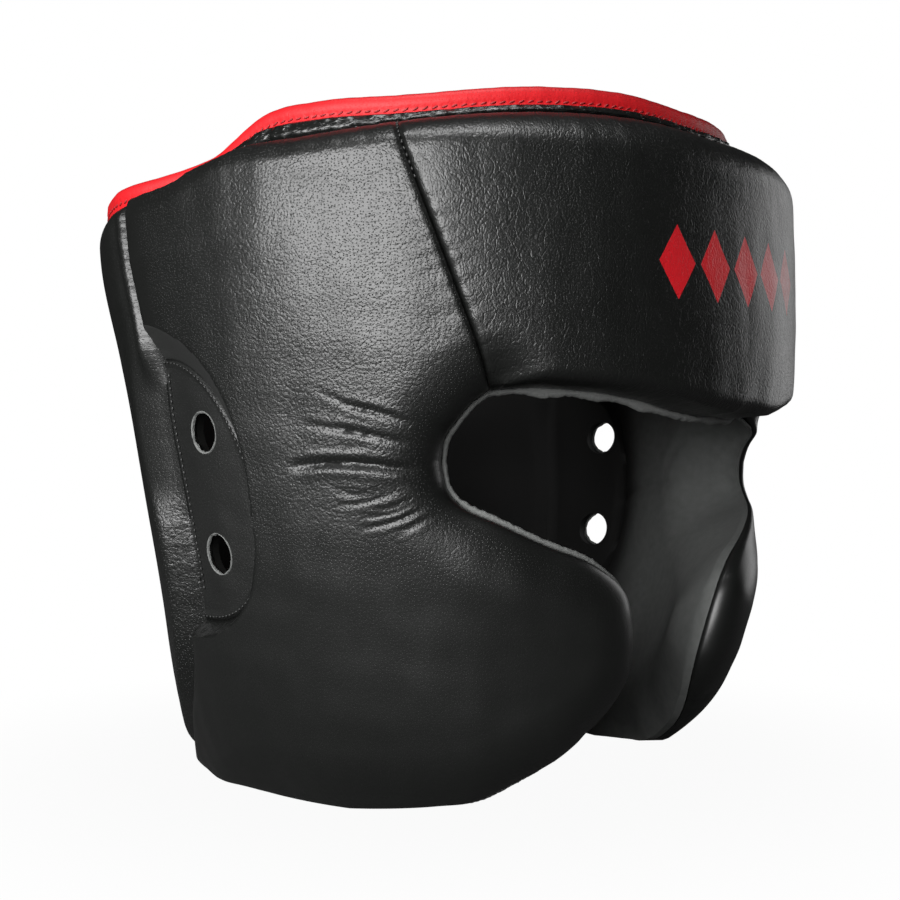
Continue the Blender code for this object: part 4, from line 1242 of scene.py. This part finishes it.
def add_stitches(name, rows, stitch, material, nodes, slant=0.0, unevenness=0.12):
    """Rows of stitches along paths, each a pair of points and outward directions."""
    length, thickness, height, spacing = stitch
    tree, sockets = nodes
    mesh = bpy.data.meshes.new(name)
    spots = np.vstack([row[0] for row in rows])
    edges = []
    start = 0
    for path, _ in rows:
        edges += [(start + i, start + i + 1) for i in range(len(path) - 1)]
        start += len(path)
    mesh.from_pydata(spots.tolist(), edges, [])
    outward = mesh.attributes.new("outward", "FLOAT_VECTOR", "POINT")
    outward.data.foreach_set("vector", np.vstack([row[1] for row in rows]).ravel())
    piece = bpy.data.objects.new(name, mesh)
    bpy.context.scene.collection.objects.link(piece)
    modifier = piece.modifiers.new("stitches", "NODES")
    modifier.node_group = tree
    modifier[sockets["Spacing"]] = spacing
    modifier[sockets["Stitch Size"]] = (length, thickness, height)
    modifier[sockets["Slant"]] = slant
    modifier[sockets["Unevenness"]] = unevenness
    modifier[sockets["Thread"]] = material
    realised(piece)
    finish_piece(piece)


def path_on(places, depth):
    """Points and outward directions of a path on the guard, at a depth."""
    points = surface_point(places, depth)
    above = surface_point(places, np.asarray(depth) - 0.001)
    outward = above - points
    return points, outward / np.linalg.norm(outward, axis=1, keepdims=True)


def on_both_sides(path, depth):
    """A path's points and directions on the right half and on the left."""
    return [path_on(path * np.array([sign, 1.0]), depth) for sign in (1.0, -1.0)]


# Pieces

def pair(name, materials, shape, fields=None, second=None, lines=None):
    """The wearer's right and left piece of a kind, each with its side's name.

    Where the outlines are given, the left one has its edge pressed at the notch beside the eye.
    """
    made = []
    for side, form in (("right", shape), ("left", mirrored(*shape))):
        if lines is not None and side == "left":
            form = (pressed(form[0], form[2], lines), form[1], form[2])
        piece = add_piece(name + "_" + side, materials, *form, fields=fields, second=second)
        made.append((piece, side))
    return made


def add_forehead(grids, lines, materials):
    points, faces, _ = joined([grids["brow"]])
    skins = front_depths(points, lines)
    piece = add_piece("forehead_leather", materials["forehead"],
                      *both_halves(*two_skins(points, faces, *skins, open_middle=True)))
    finish_piece(piece, "forehead_pad")


def side_grain(points, lines):
    """Strength of a side pad's grain: smooth at its foot and edges, strong in its folds."""
    rear = np.minimum(distance(points, lines["top_seam"]), distance(points, lines["low_seam"]))
    place = (points - np.array(FOLDED_PLACE)) / np.array(FOLDED_REACH)
    folded = np.exp(-place[:, 0] ** 4 - place[:, 1] ** 4)
    foot, rise, extra = SIDE_GRAIN
    grain = foot + rise * step(points[:, 1], *SIDE_GRAIN_HEIGHTS) + extra * folded
    grain = grain * (REAR_GRAIN + (1.0 - REAR_GRAIN) * step(rear, *REAR_GRAIN_GAPS))
    return grain * (FACE_GRAIN + (1.0 - FACE_GRAIN) * step(distance(points, lines["face"]), *FACE_GRAIN_GAPS))


def add_side_pads(grids, lines, materials):
    """Side and cheek pads, with the cloth that faces the upper wall of the ear cut-out."""
    points, faces, _ = joined([grids["side_low"], grids["side_middle"], grids["side_top"]])
    solid = two_skins(points, faces, *side_depths(points, lines))
    gap = distance(points, lines["side_top"])
    near = np.exp(-((gap - OVERLAP_GAP) / OVERLAP_WIDTH) ** 2)
    solid[0][:len(points), 2] += PAD_OVERLAP * step(points[:, 0], *OVERLAP_ANGLES) * near
    wall = ear_cut_wall(points, distance(points, cut_line(lines)))
    on_wall = np.array([min(wall[face]) > 0.0 and points[face, 1].min() > WALL_FOOT for face in faces])
    second = np.concatenate([on_wall, np.zeros(len(solid[1]) - len(faces), dtype=bool)])
    fields = {"grain": np.tile(side_grain(points, lines), 2)}
    surfaces = [materials["side"], materials["wall"]]
    for piece, side in pair("cheek_leather", surfaces, solid, fields, second, lines):
        finish_piece(piece, "side_pad_" + side)


def add_back_pads(grids, lines, materials):
    """Pads behind the ears, glossier and with stronger grain beside the lower seam."""
    points, faces, _ = joined([grids["back"]])
    points[:, 1] = np.maximum(points[:, 1], BINDING_SEAT)
    solid = two_skins(points, faces, *back_depths(points, lines))
    seam = distance(points, back_line(lines))
    low = 1.0 - step(points[:, 1], *BACK_GRAIN_HEIGHTS)
    grain = BACK_GRAIN[0] + BACK_GRAIN[1] * low * (1.0 - step(seam, *BACK_GRAIN_GAPS))
    for piece, side in pair("nape_leather", materials["back"], solid, {"grain": np.tile(grain, 2)}):
        finish_piece(piece, "back_pad_" + side)


def sign_of(side):
    """Direction along X in which one side of the guard faces."""
    return -1.0 if side == "right" else 1.0


def hole_places(side):
    """Centres of the ear holes on one side."""
    angle = EAR_HOLE_ANGLE if side == "right" else FAR_HOLE_ANGLE
    places = [surface_point(np.array([angle, height]), CHEEK_SEAM_DEPTH) for height in EAR_HOLE_HEIGHTS]
    return [(abs(place[0]) * sign_of(side), place[1], place[2]) for place in places]


def cut_holes(piece, sides):
    """Cut the round ear holes through a piece."""
    cutters = []
    for side in sides:
        for place in hole_places(side):
            bpy.ops.mesh.primitive_cylinder_add(vertices=48, radius=EAR_HOLE_DIAMETER / 2.0, depth=0.05,
                                                location=place, rotation=(0.0, math.pi / 2.0, 0.0))
            cutter = bpy.context.active_object
            cutters.append(cutter)
            modifier = piece.modifiers.new("hole", "BOOLEAN")
            modifier.operation = "DIFFERENCE"
            modifier.solver = "EXACT"
            modifier.object = cutter
    realised(piece)
    for cutter in cutters:
        bpy.data.objects.remove(cutter, do_unlink=True)


def add_hole_edges(materials):
    """Raw grey edge of the leather inside each ear hole."""
    draw = np.random.default_rng(21)
    for side in ("right", "left"):
        vertices = []
        faces = []
        for place in hole_places(side):
            turns = np.linspace(0.0, 2.0 * math.pi, HOLE_SIDES, endpoint=False)
            wobble = HOLE_FRAY * draw.standard_normal(HOLE_SIDES)
            wobble = (wobble + np.roll(wobble, 1) + np.roll(wobble, -1)) / 2.0
            rings = []
            for depth, narrow in HOLE_RINGS:
                radius = EAR_HOLE_DIAMETER / 2.0 + 0.0002 - narrow + wobble * (narrow > 0.0003)
                y = place[1] + radius * np.cos(turns)
                z = place[2] + radius * np.sin(turns)
                start = patch_front(side, y, z)
                rings.append(np.stack([start + sign_of(side) * depth, y, z], axis=-1))
            faces += tube_faces(len(rings), len(turns), True, sum(len(block) for block in vertices))
            vertices.append(np.vstack(rings))
        piece = add_piece("ear_hole_edges_" + side, materials["suede"], np.vstack(vertices), faces)
        finish_piece(piece)


def patch_front(side, y, z):
    """X of the ear patch's outer face at a place in Y and Z."""
    angle = np.full(len(y), EAR_HOLE_ANGLE)
    for _ in range(12):
        places = np.stack([angle, z], axis=-1)
        spots = surface_point(places, seam_depths(places, None)[0])
        angle = angle + (y - spots[:, 1]) / METRES_PER_DEGREE * 0.9
    return sign_of(side) * np.abs(spots[:, 0])


def tube_faces(rows, count, closed=False, start=0):
    """Quads between neighbouring rings of points, and from the last ring to the first where closed."""
    faces = []
    for j in range(rows if closed else rows - 1):
        here = start + j * count
        after = start + (j + 1) % rows * count
        for i in range(count):
            k = (i + 1) % count
            faces.append([here + i, here + k, after + k, after + i])
    return faces


def add_ear_patches(grids, lines, materials, nodes):
    """Leather patches in the ear cut-outs, with holes, a raised edge and its stitches."""
    points, faces, _ = joined([grids["ear"]])
    outer, inner = seam_depths(points, None)
    edge = distance(points, cut_line(lines))
    lip, inset, width = PATCH_LIP
    outer = outer - lip * np.exp(-((edge - inset) / width) ** 2) + swell(points, PATCH_SWELL)
    outer = outer + PATCH_CREASE[0] * np.exp(-(edge / PATCH_CREASE[1]) ** 2)
    solid = two_skins(points, faces, outer, inner)
    for piece, side in pair("ear_leather", materials["patch"], solid):
        cut_holes(piece, [side])
        finish_piece(piece, "ear_patch_" + side)
    add_hole_edges(materials)
    line = cut_line(lines)
    middle = np.array([EAR_HOLE_ANGLE, EAR_CUT_CENTRE])
    line = line + (middle - line) / np.linalg.norm(flat(middle - line), axis=1, keepdims=True) * inset
    back = lines["ear_seam"][20:-10] - np.array([0.9, 0.0])
    rows = (on_both_sides(line, seam_depths(line, None)[0] - 0.0009)
            + on_both_sides(back, seam_depths(back, None)[0] - 0.0003))
    add_stitches("ear_stitches", rows, FINE_STITCH, materials["thread"], nodes)


def add_lining(grids, lines, materials):
    """Lining inside all the pads, with the ear holes cut through, and painted light and shade in its colour:
    pale in front, near-black towards the back.
    """
    back, ear, side, brow = (evenly(grids[name].shape[1]) for name in ("back", "ear", "side_middle", "brow"))
    rules = [(grids["back"], back_depths)]
    rules += [(grids[name], front_depths) for name in ("side_low", "side_middle", "side_top", "brow")]
    rules.append((grids["ear"], seam_depths))
    for name, columns in (("back_top", back), ("side_top", split_columns(ear, side, TOP_SPLIT)),
                          ("brow_top", brow)):
        rules.append((rim_grid(lines[name], columns), seam_depths))
    points, faces, owner = joined([grid for grid, _ in rules])
    depth = np.zeros(len(points))
    for number, (_, rule) in enumerate(rules):
        chosen = owner == number
        depth[chosen] = rule(points[chosen], lines)[1] + LINING_GAP
    behind = points[:, 0] > back_seam_angle(0.0) + 0.1
    points[:, 1] = np.where(behind, np.maximum(points[:, 1], LINING_FOOT), points[:, 1])
    thick = depth + LINING_THICKNESS + swell(points, LINING_SWELL)
    for row in LINING_CREASES:
        crease = smooth_line(np.array(row).reshape(3, 2), 8)
        thick = thick - LINING_CREASE_DEPTH * np.exp(-(distance(points, crease) / LINING_CREASE_WIDTH) ** 2)
    solid = two_skins(points, faces, depth, thick, open_middle=True)
    vertices, faces, places = both_halves(*solid)
    piece = add_piece("inner_lining", materials["lining"], pressed(vertices, places, lines), faces, places)
    # Painted light and shade of the lining: full colour in front, falling to the painted shade colour towards
    # the back
    spots = np.array([vertex.co for vertex in piece.data.vertices])
    turn = np.degrees(np.arctan2(np.abs(spots[:, 0]), PLAN_SHIFT - spots[:, 1]))
    shade = 1.0 - step(turn, *LINING_PAINTED_SHADE_ANGLES)
    piece.data.attributes.new("shade", "FLOAT", "POINT").data.foreach_set("value", shade)
    cut_holes(piece, ["right", "left"])
    finish_piece(piece, "lining")


def rim_grid(line, columns):
    """Stretch of the lining that stands above a pad's top edge, up into the binding."""
    low = along(line, columns)
    high = np.stack([low[:, 0], rim_height(low[:, 0]) - LINING_FOOT], axis=-1)
    return np.stack([low, (low + high) / 2.0, high])


def swept(sections):
    """Solid swept through closed sections, capped at both ends, with its faces outwards."""
    count = len(sections[0])
    faces = tube_faces(len(sections), count)
    faces.append(list(range(count))[::-1])
    faces.append([(len(sections) - 1) * count + i for i in range(count)])
    vertices = np.vstack(sections)
    return vertices, outward_faces(vertices, faces)


def outward_faces(vertices, faces):
    """Faces turned so that their normals point out of the closed solid."""
    spots = np.asarray(vertices)
    volume = 0.0
    for face in faces:
        first = spots[face[0]]
        for second, third in zip(face[1:-1], face[2:]):
            volume += np.dot(first, np.cross(spots[second], spots[third]))
    return faces if volume > 0.0 else [face[::-1] for face in faces]


def lining_depth_at(angle, height):
    """Depth of the lining's outer face where it runs into a binding."""
    places = np.stack(np.broadcast_arrays(angle, height), axis=-1)
    return seam_depths(places, None)[1] + LINING_GAP


def binding_profile():
    """Outline of the folded leather: across from -1 to 1, and the share of its height fallen."""
    turns = np.linspace(0.0, math.pi, 15)
    side_falls = np.linspace(1.0, BINDING_TOP_SHARE, 8)[:-1]
    profile = [(-1.0, share) for share in side_falls]
    for turn in turns:
        across = -math.copysign(abs(math.cos(turn)) ** 0.62, math.cos(turn))
        profile.append((across, BINDING_TOP_SHARE * (1.0 - math.sin(turn) ** 0.7)))
    profile += [(1.0, share) for share in side_falls[::-1]]
    return np.array(profile)


def binding_sections(angles, edge, upward, lean=None):
    """Sections of folded leather round an edge, with a soft top, a groove at the stitches and wrinkles."""
    inside = lining_depth_at(angles, edge)
    back = step(np.abs(angles), *FLARE_ANGLES) if upward > 0.0 else np.zeros(len(angles))
    outer = inside - BINDING_CLEARANCE - BINDING_LEATHER - BINDING_FLARE * back
    inner = inside + LINING_THICKNESS + BINDING_CLEARANCE + BINDING_LEATHER
    middle = (outer + inner) / 2.0
    half = (inner - outer) / 2.0
    tall = BINDING_TALL + BINDING_LOBE * back
    run = np.stack([angles, np.zeros(len(angles))], axis=-1)
    soft = sum(swell(run, row) for row in BINDING_SWELLS)
    ripple = np.sin(angles * METRES_PER_DEGREE * 2.0 * math.pi / BINDING_STITCH[3])
    outer_path = binding_profile()
    across, fall = outer_path.T
    face = across < -0.5
    groove = np.exp(-((fall - STITCH_SHARE) / GROOVE_WIDTH) ** 2)
    lip = step(fall, *LIP_SHARES)
    high, change, place, width = BINDING_PUFF
    full = np.exp(-((fall - place) / width) ** 2)
    sections = []
    for k in range(len(angles)):
        puff = (high + change * soft[k]) * full - (GROOVE_DEPTH[0] + GROOVE_DEPTH[1] * ripple[k]) * groove
        puff = puff + BINDING_LIP[0] * lip * (1.0 + BINDING_LIP[1] * soft[k])
        depth = middle[k] + across * half[k] - np.where(face, puff, 0.0)
        drop = fall * tall[k] + LIP_WAVE * soft[k] * lip * face
        drop = drop - TOP_WAVE * soft[k] * (fall < TOP_WAVE_SHARE)
        hidden_depth = middle[k] + outer_path[::-1, 0] * (half[k] - BINDING_LEATHER)
        hidden_drop = np.maximum(outer_path[::-1, 1] * tall[k], BINDING_LEATHER)
        depths = np.concatenate([depth, hidden_depth[2:-2]])
        falls = np.concatenate([drop, hidden_drop[2:-2]])
        angle = np.full(len(depths), angles[k])
        if lean is not None:
            angle = angle + lean[k] * np.clip((falls - LINING_FOOT) / (BINDING_SEAT - LINING_FOOT), 0.0, 1.0)
        place = np.stack([angle, edge[k] - upward * falls], axis=-1)
        sections.append(surface_point(place, depths))
    walls, measure = np.concatenate([outer_path, outer_path[::-1][2:-2]]).T
    measure = measure * BINDING_HEIGHT * np.where(walls < 0.0, 1.0, -1.0)
    places = np.concatenate([np.stack([np.full(len(measure), a), measure], axis=-1) for a in angles])
    return sections, places


def add_bindings(lines, materials, nodes):
    """Red binding on the top rim, and on the nape's edge at each side of the slit."""
    angles = np.linspace(-SLIT_ANGLE, SLIT_ANGLE, 1100)
    sections, places = binding_sections(angles, rim_height(angles), 1.0)
    vertices, faces = swept(sections)
    piece = add_piece("binding_leather", materials["red"], vertices, faces, places)
    finish_piece(piece, "top_binding")
    places = np.stack([angles, rim_height(angles)], axis=-1)
    back = step(np.abs(angles), *FLARE_ANGLES)
    tall = BINDING_TALL + BINDING_LOBE * back
    row = places - np.stack([np.zeros(len(angles)), STITCH_SHARE * tall], axis=-1)
    depth = lining_depth_at(angles, rim_height(angles)) - BINDING_CLEARANCE - BINDING_LEATHER
    depth = depth - BINDING_FLARE * back
    add_stitches("binding_stitches", [path_on(row, depth)], BINDING_STITCH,
                 materials["red_thread"], nodes, BINDING_SLANT, BINDING_UNEVENNESS)
    seat = float(back_seam_angle(BINDING_SEAT))
    angles = np.linspace(SLIT_ANGLE, float(back_seam_angle(0.0)) + 0.1, 220)
    lean = (seat - angles[-1]) * ((angles - SLIT_ANGLE) / (angles[-1] - SLIT_ANGLE)) ** 8
    sections, places = binding_sections(angles, np.zeros(len(angles)), -1.0, lean)
    vertices, faces = swept(sections)
    for side, form in (("right", (vertices, faces, places)), ("left", mirrored(vertices, faces, places))):
        piece = add_piece("nape_edge_" + side, materials["red"], *form)
        finish_piece(piece, "nape_binding_" + side)


def add_collar(materials):
    """Gathered black roll under the binding, round the front of the rim."""
    angles = np.linspace(-COLLAR_END_ANGLE, COLLAR_END_ANGLE, 900)
    low = pad_top(angles) - COLLAR_FOOT_OVERLAP
    high = rim_height(angles) - BINDING_SEAT + COLLAR_TOP_OVERLAP
    inner = lining_depth_at(angles, high) - BINDING_CLEARANCE
    run = np.stack([angles, np.zeros(len(angles))], axis=-1)
    pleats = sum(swell(run, row) for row in COLLAR_PLEATS)
    ends = 1.0 - step(np.abs(angles), COLLAR_END_ANGLE - COLLAR_FADE, COLLAR_END_ANGLE)
    sections = []
    turns = np.linspace(-math.pi / 2.0, math.pi / 2.0, 15)
    for k in range(len(angles)):
        full = COLLAR_TIP_SHARE + (1.0 - COLLAR_TIP_SHARE) * ends[k]
        reach = COLLAR_BACK + (COLLAR_WIDTH + PLEAT_HEIGHT * pleats[k]) * full
        depth = inner[k] - 0.0002 - reach * np.cos(turns) ** 0.7
        height = (low[k] + high[k]) / 2.0 + (high[k] - low[k]) / 2.0 * np.sin(turns)
        wrinkle = COLLAR_WRINKLE * np.sin(turns * 5.0 + 3.0 * pleats[k])
        place = np.stack([np.full(len(turns), angles[k]), height], axis=-1)
        sections.append(surface_point(place, depth + wrinkle * np.cos(turns)))
    vertices, faces = swept(sections)
    places = np.concatenate([np.stack([np.full(len(turns), a), turns * 0.003], axis=-1) for a in angles])
    piece = add_piece("collar_leather", materials["collar"], vertices, faces, places)
    finish_piece(piece, "rim_collar")


def edge_path(lines):
    """The face opening's edge from the chin up to the brow, evenly spaced."""
    chin = lines["chin"][lines["chin"][:, 1] > 0.004]
    line = np.vstack([chin, lines["face"][1:], lines["brow"][1:]])
    return along(line, evenly(SUEDE_STEPS))


def add_suede_edge(lines, materials):
    """Raw suede edge of the lining that stands out round the face opening."""
    half = edge_path(lines)
    line = np.vstack([half, (half[::-1] * np.array([-1.0, 1.0]))[1:]])
    spots = flat(line)
    run = np.gradient(spots, axis=0)
    run = run / np.linalg.norm(run, axis=1, keepdims=True)
    side = np.stack([-run[:, 1], run[:, 0]], axis=-1)
    depth = seam_depths(line, None)[1] + LINING_GAP + LINING_THICKNESS / 2.0
    draw = np.random.default_rng(51)
    fuzz = draw.standard_normal(len(line))
    fuzz = (fuzz + np.roll(fuzz, 1) + np.roll(fuzz, -1)) / 3.0
    places = np.concatenate([[0.0], np.cumsum(np.linalg.norm(np.diff(spots, axis=0), axis=1))])
    lumps = 0.5 * np.sin(places * 130.0) * np.sin(places * 47.0 + 1.0) + 0.35 * np.sin(places * 310.0 + 2.0)
    brow = step(spots[:, 1], *SUEDE_FADE_HEIGHTS)
    hidden = SUEDE_FAR_SHIFT * step(-line[:, 0], *SUEDE_FAR_FADE_ANGLES) * (1.0 - brow)
    turns = np.linspace(0.0, 2.0 * math.pi, 12, endpoint=False)
    sections = []
    for k in range(len(line)):
        wide = SUEDE_WIDTH + SUEDE_LUMP * lumps[k] + SUEDE_BROW_LUMP * brow[k] * max(lumps[k], 0.0)
        wide = wide + SUEDE_FUZZ * fuzz[k]
        place = spots[k] + side[k] * (SUEDE_SHIFT - hidden[k] + wide * np.cos(turns)[:, None])
        deep = depth[k] + SUEDE_DEPTH * np.sin(turns)
        place = place / np.array([METRES_PER_DEGREE, 1.0])
        sections.append(pressed(surface_point(place, deep), place, lines))
    vertices, faces = swept(sections)
    piece = add_piece("suede_edge", materials["suede"], vertices, faces)
    finish_piece(piece)


def add_strap(materials, nodes):
    """Plain strap over the slit at the back, with its row of stitches."""
    angles = np.linspace(STRAP_END_ANGLE, 360.0 - STRAP_END_ANGLE, 120)
    heights = STRAP_CENTRE + STRAP_HEIGHT * np.linspace(-0.5, 0.5, 48)
    grid = np.stack(np.broadcast_arrays(angles[None, ::-1], heights[:, None]), axis=-1)
    points, faces, _ = joined([grid])
    edge = np.minimum(points[:, 0] - angles[0], angles[-1] - points[:, 0]) * METRES_PER_DEGREE
    edge = np.minimum(edge, STRAP_HEIGHT / 2.0 - np.abs(points[:, 1] - STRAP_CENTRE))
    outer = -SEAT_GAP - STRAP_THICKNESS * (1.0 - 0.75 * roll(edge, STRAP_ROLL))
    outer = outer + 0.0003 * np.exp(-((edge - STRAP_STITCH_INSET) / 0.0006) ** 2)
    vertices, faces, places = two_skins(points, faces, outer, np.full(len(points), -SEAT_GAP))
    piece = add_piece("strap_leather", materials["strap"], vertices, outward_faces(vertices, faces), places)
    finish_piece(piece, "closure_strap")
    rise = STRAP_HEIGHT / 2.0 - STRAP_STITCH_INSET
    first, last = angles[0] + STRAP_STITCH_TURN, angles[-1] - STRAP_STITCH_TURN
    ends = np.array([[first, -rise], [last, -rise], [last, rise], [first, rise], [first, -rise]])
    ends[:, 1] += STRAP_CENTRE
    row = along(ends, evenly(400))
    add_stitches("strap_stitches", [path_on(row, -SEAT_GAP - STRAP_THICKNESS + 0.0002)],
                 BINDING_STITCH, materials["thread"], nodes)


def add_seam_stitches(lines, materials, nodes):
    """Short stitches that show in the groove between the forehead and side pads."""
    line = lines["brow_seam"][-TEMPLE_STITCH_STEPS:]
    depth = front_depths(line, lines)[0] - STITCH_STAND
    add_stitches("temple_stitches", on_both_sides(line, depth), FINE_STITCH,
                 materials["thread"], nodes)


# Studio

def add_stage():
    """Plain white floor that glows white for the camera and is darkened near the guard by a share of grey
    floor: a painted shadow, with a faint real contact shadow in its grey share.
    """
    material, tree, shader = new_material("pale_floor")
    shader.inputs["Base Color"].default_value = (FLOOR_GREY, FLOOR_GREY, FLOOR_GREY, 1.0)
    shader.inputs["Roughness"].default_value = 0.95
    glow = add_node(tree, "ShaderNodeEmission", {"Color": (1.0, 1.0, 1.0, 1.0), "Strength": 1.0})
    ray = tree.nodes.new("ShaderNodeLightPath")
    mix = tree.nodes.new("ShaderNodeMixShader")
    coords = add_node(tree, "ShaderNodeTexCoord")
    far = add_node(tree, "ShaderNodeVectorMath", operation="LENGTH")
    tree.links.new(coords.outputs["Object"], far.inputs[0])
    # Near the guard the camera sees a share of the grey floor: painted shadow that fades out with distance
    clear = ranged(tree, far.outputs["Value"], *SHADOW_REACH, *SHADOW_SHARES)
    share = sums(tree, "MULTIPLY", ray.outputs["Is Camera Ray"], clear)
    tree.links.new(share, mix.inputs[0])
    tree.links.new(shader.outputs[0], mix.inputs[1])
    tree.links.new(glow.outputs[0], mix.inputs[2])
    tree.links.new(mix.outputs[0], tree.nodes["Material Output"].inputs["Surface"])
    bpy.ops.mesh.primitive_plane_add(size=40.0)
    floor = bpy.context.active_object
    floor.name = "studio_floor"
    floor.data.materials.append(material)


def add_light(name, angle, height, far, size, power, diffuse):
    """Soft rectangular light at an angle round the guard, aimed at it."""
    turn = math.radians(angle)
    lamp = bpy.data.lights.new(name, "AREA")
    lamp.shape = "RECTANGLE"
    lamp.size, lamp.size_y = size
    lamp.energy = power
    light = bpy.data.objects.new(name, lamp)
    bpy.context.scene.collection.objects.link(light)
    place = np.array([-far * math.sin(turn), -far * math.cos(turn), height])
    light.location = place
    light.visible_diffuse = diffuse
    aim = np.array([0.0, 0.0, AIM_HEIGHT]) - place
    light.rotation_euler = (math.acos(-aim[2] / np.linalg.norm(aim)), 0.0, math.atan2(-aim[0], aim[1]))


def add_studio():
    """Camera, lights and the white surroundings."""
    camera = bpy.data.cameras.new("camera")
    camera.lens = LENS
    camera.sensor_width = SENSOR
    camera.shift_y = HORIZON_SHIFT
    holder = bpy.data.objects.new("camera", camera)
    holder.location = (EYE_PLACE[0], EYE_PLACE[1] + PLAN_SHIFT, EYE_PLACE[2])
    holder.rotation_euler = (math.pi / 2.0, 0.0, math.radians(VIEW_TURN))
    bpy.context.scene.collection.objects.link(holder)
    bpy.context.scene.camera = holder
    world = bpy.data.worlds.new("studio")
    world.use_nodes = True
    tree = world.node_tree
    ray = tree.nodes.new("ShaderNodeLightPath")
    tree.nodes["Background"].inputs["Color"].default_value = (1.0, 1.0, 1.0, 1.0)
    strength = sums(tree, "ADD", sums(tree, "MULTIPLY", ray.outputs["Is Camera Ray"], 1.0 - AMBIENT), AMBIENT)
    tree.links.new(strength, tree.nodes["Background"].inputs["Strength"])
    bpy.context.scene.world = world
    bpy.context.scene.view_settings.view_transform = "Standard"
    for row in LIGHTS:
        add_light(*row)


def main():
    add_stage()
    add_studio()
    lines = outlines()
    grids = panel_grids(lines)
    materials = make_materials()
    nodes = stitch_tree()
    add_forehead(grids, lines, materials)
    add_side_pads(grids, lines, materials)
    add_back_pads(grids, lines, materials)
    add_ear_patches(grids, lines, materials, nodes)
    add_lining(panel_grids(lines, 0.5), lines, materials)
    add_bindings(lines, materials, nodes)
    add_collar(materials)
    add_suede_edge(lines, materials)
    add_strap(materials, nodes)
    add_seam_stitches(lines, materials, nodes)


main()
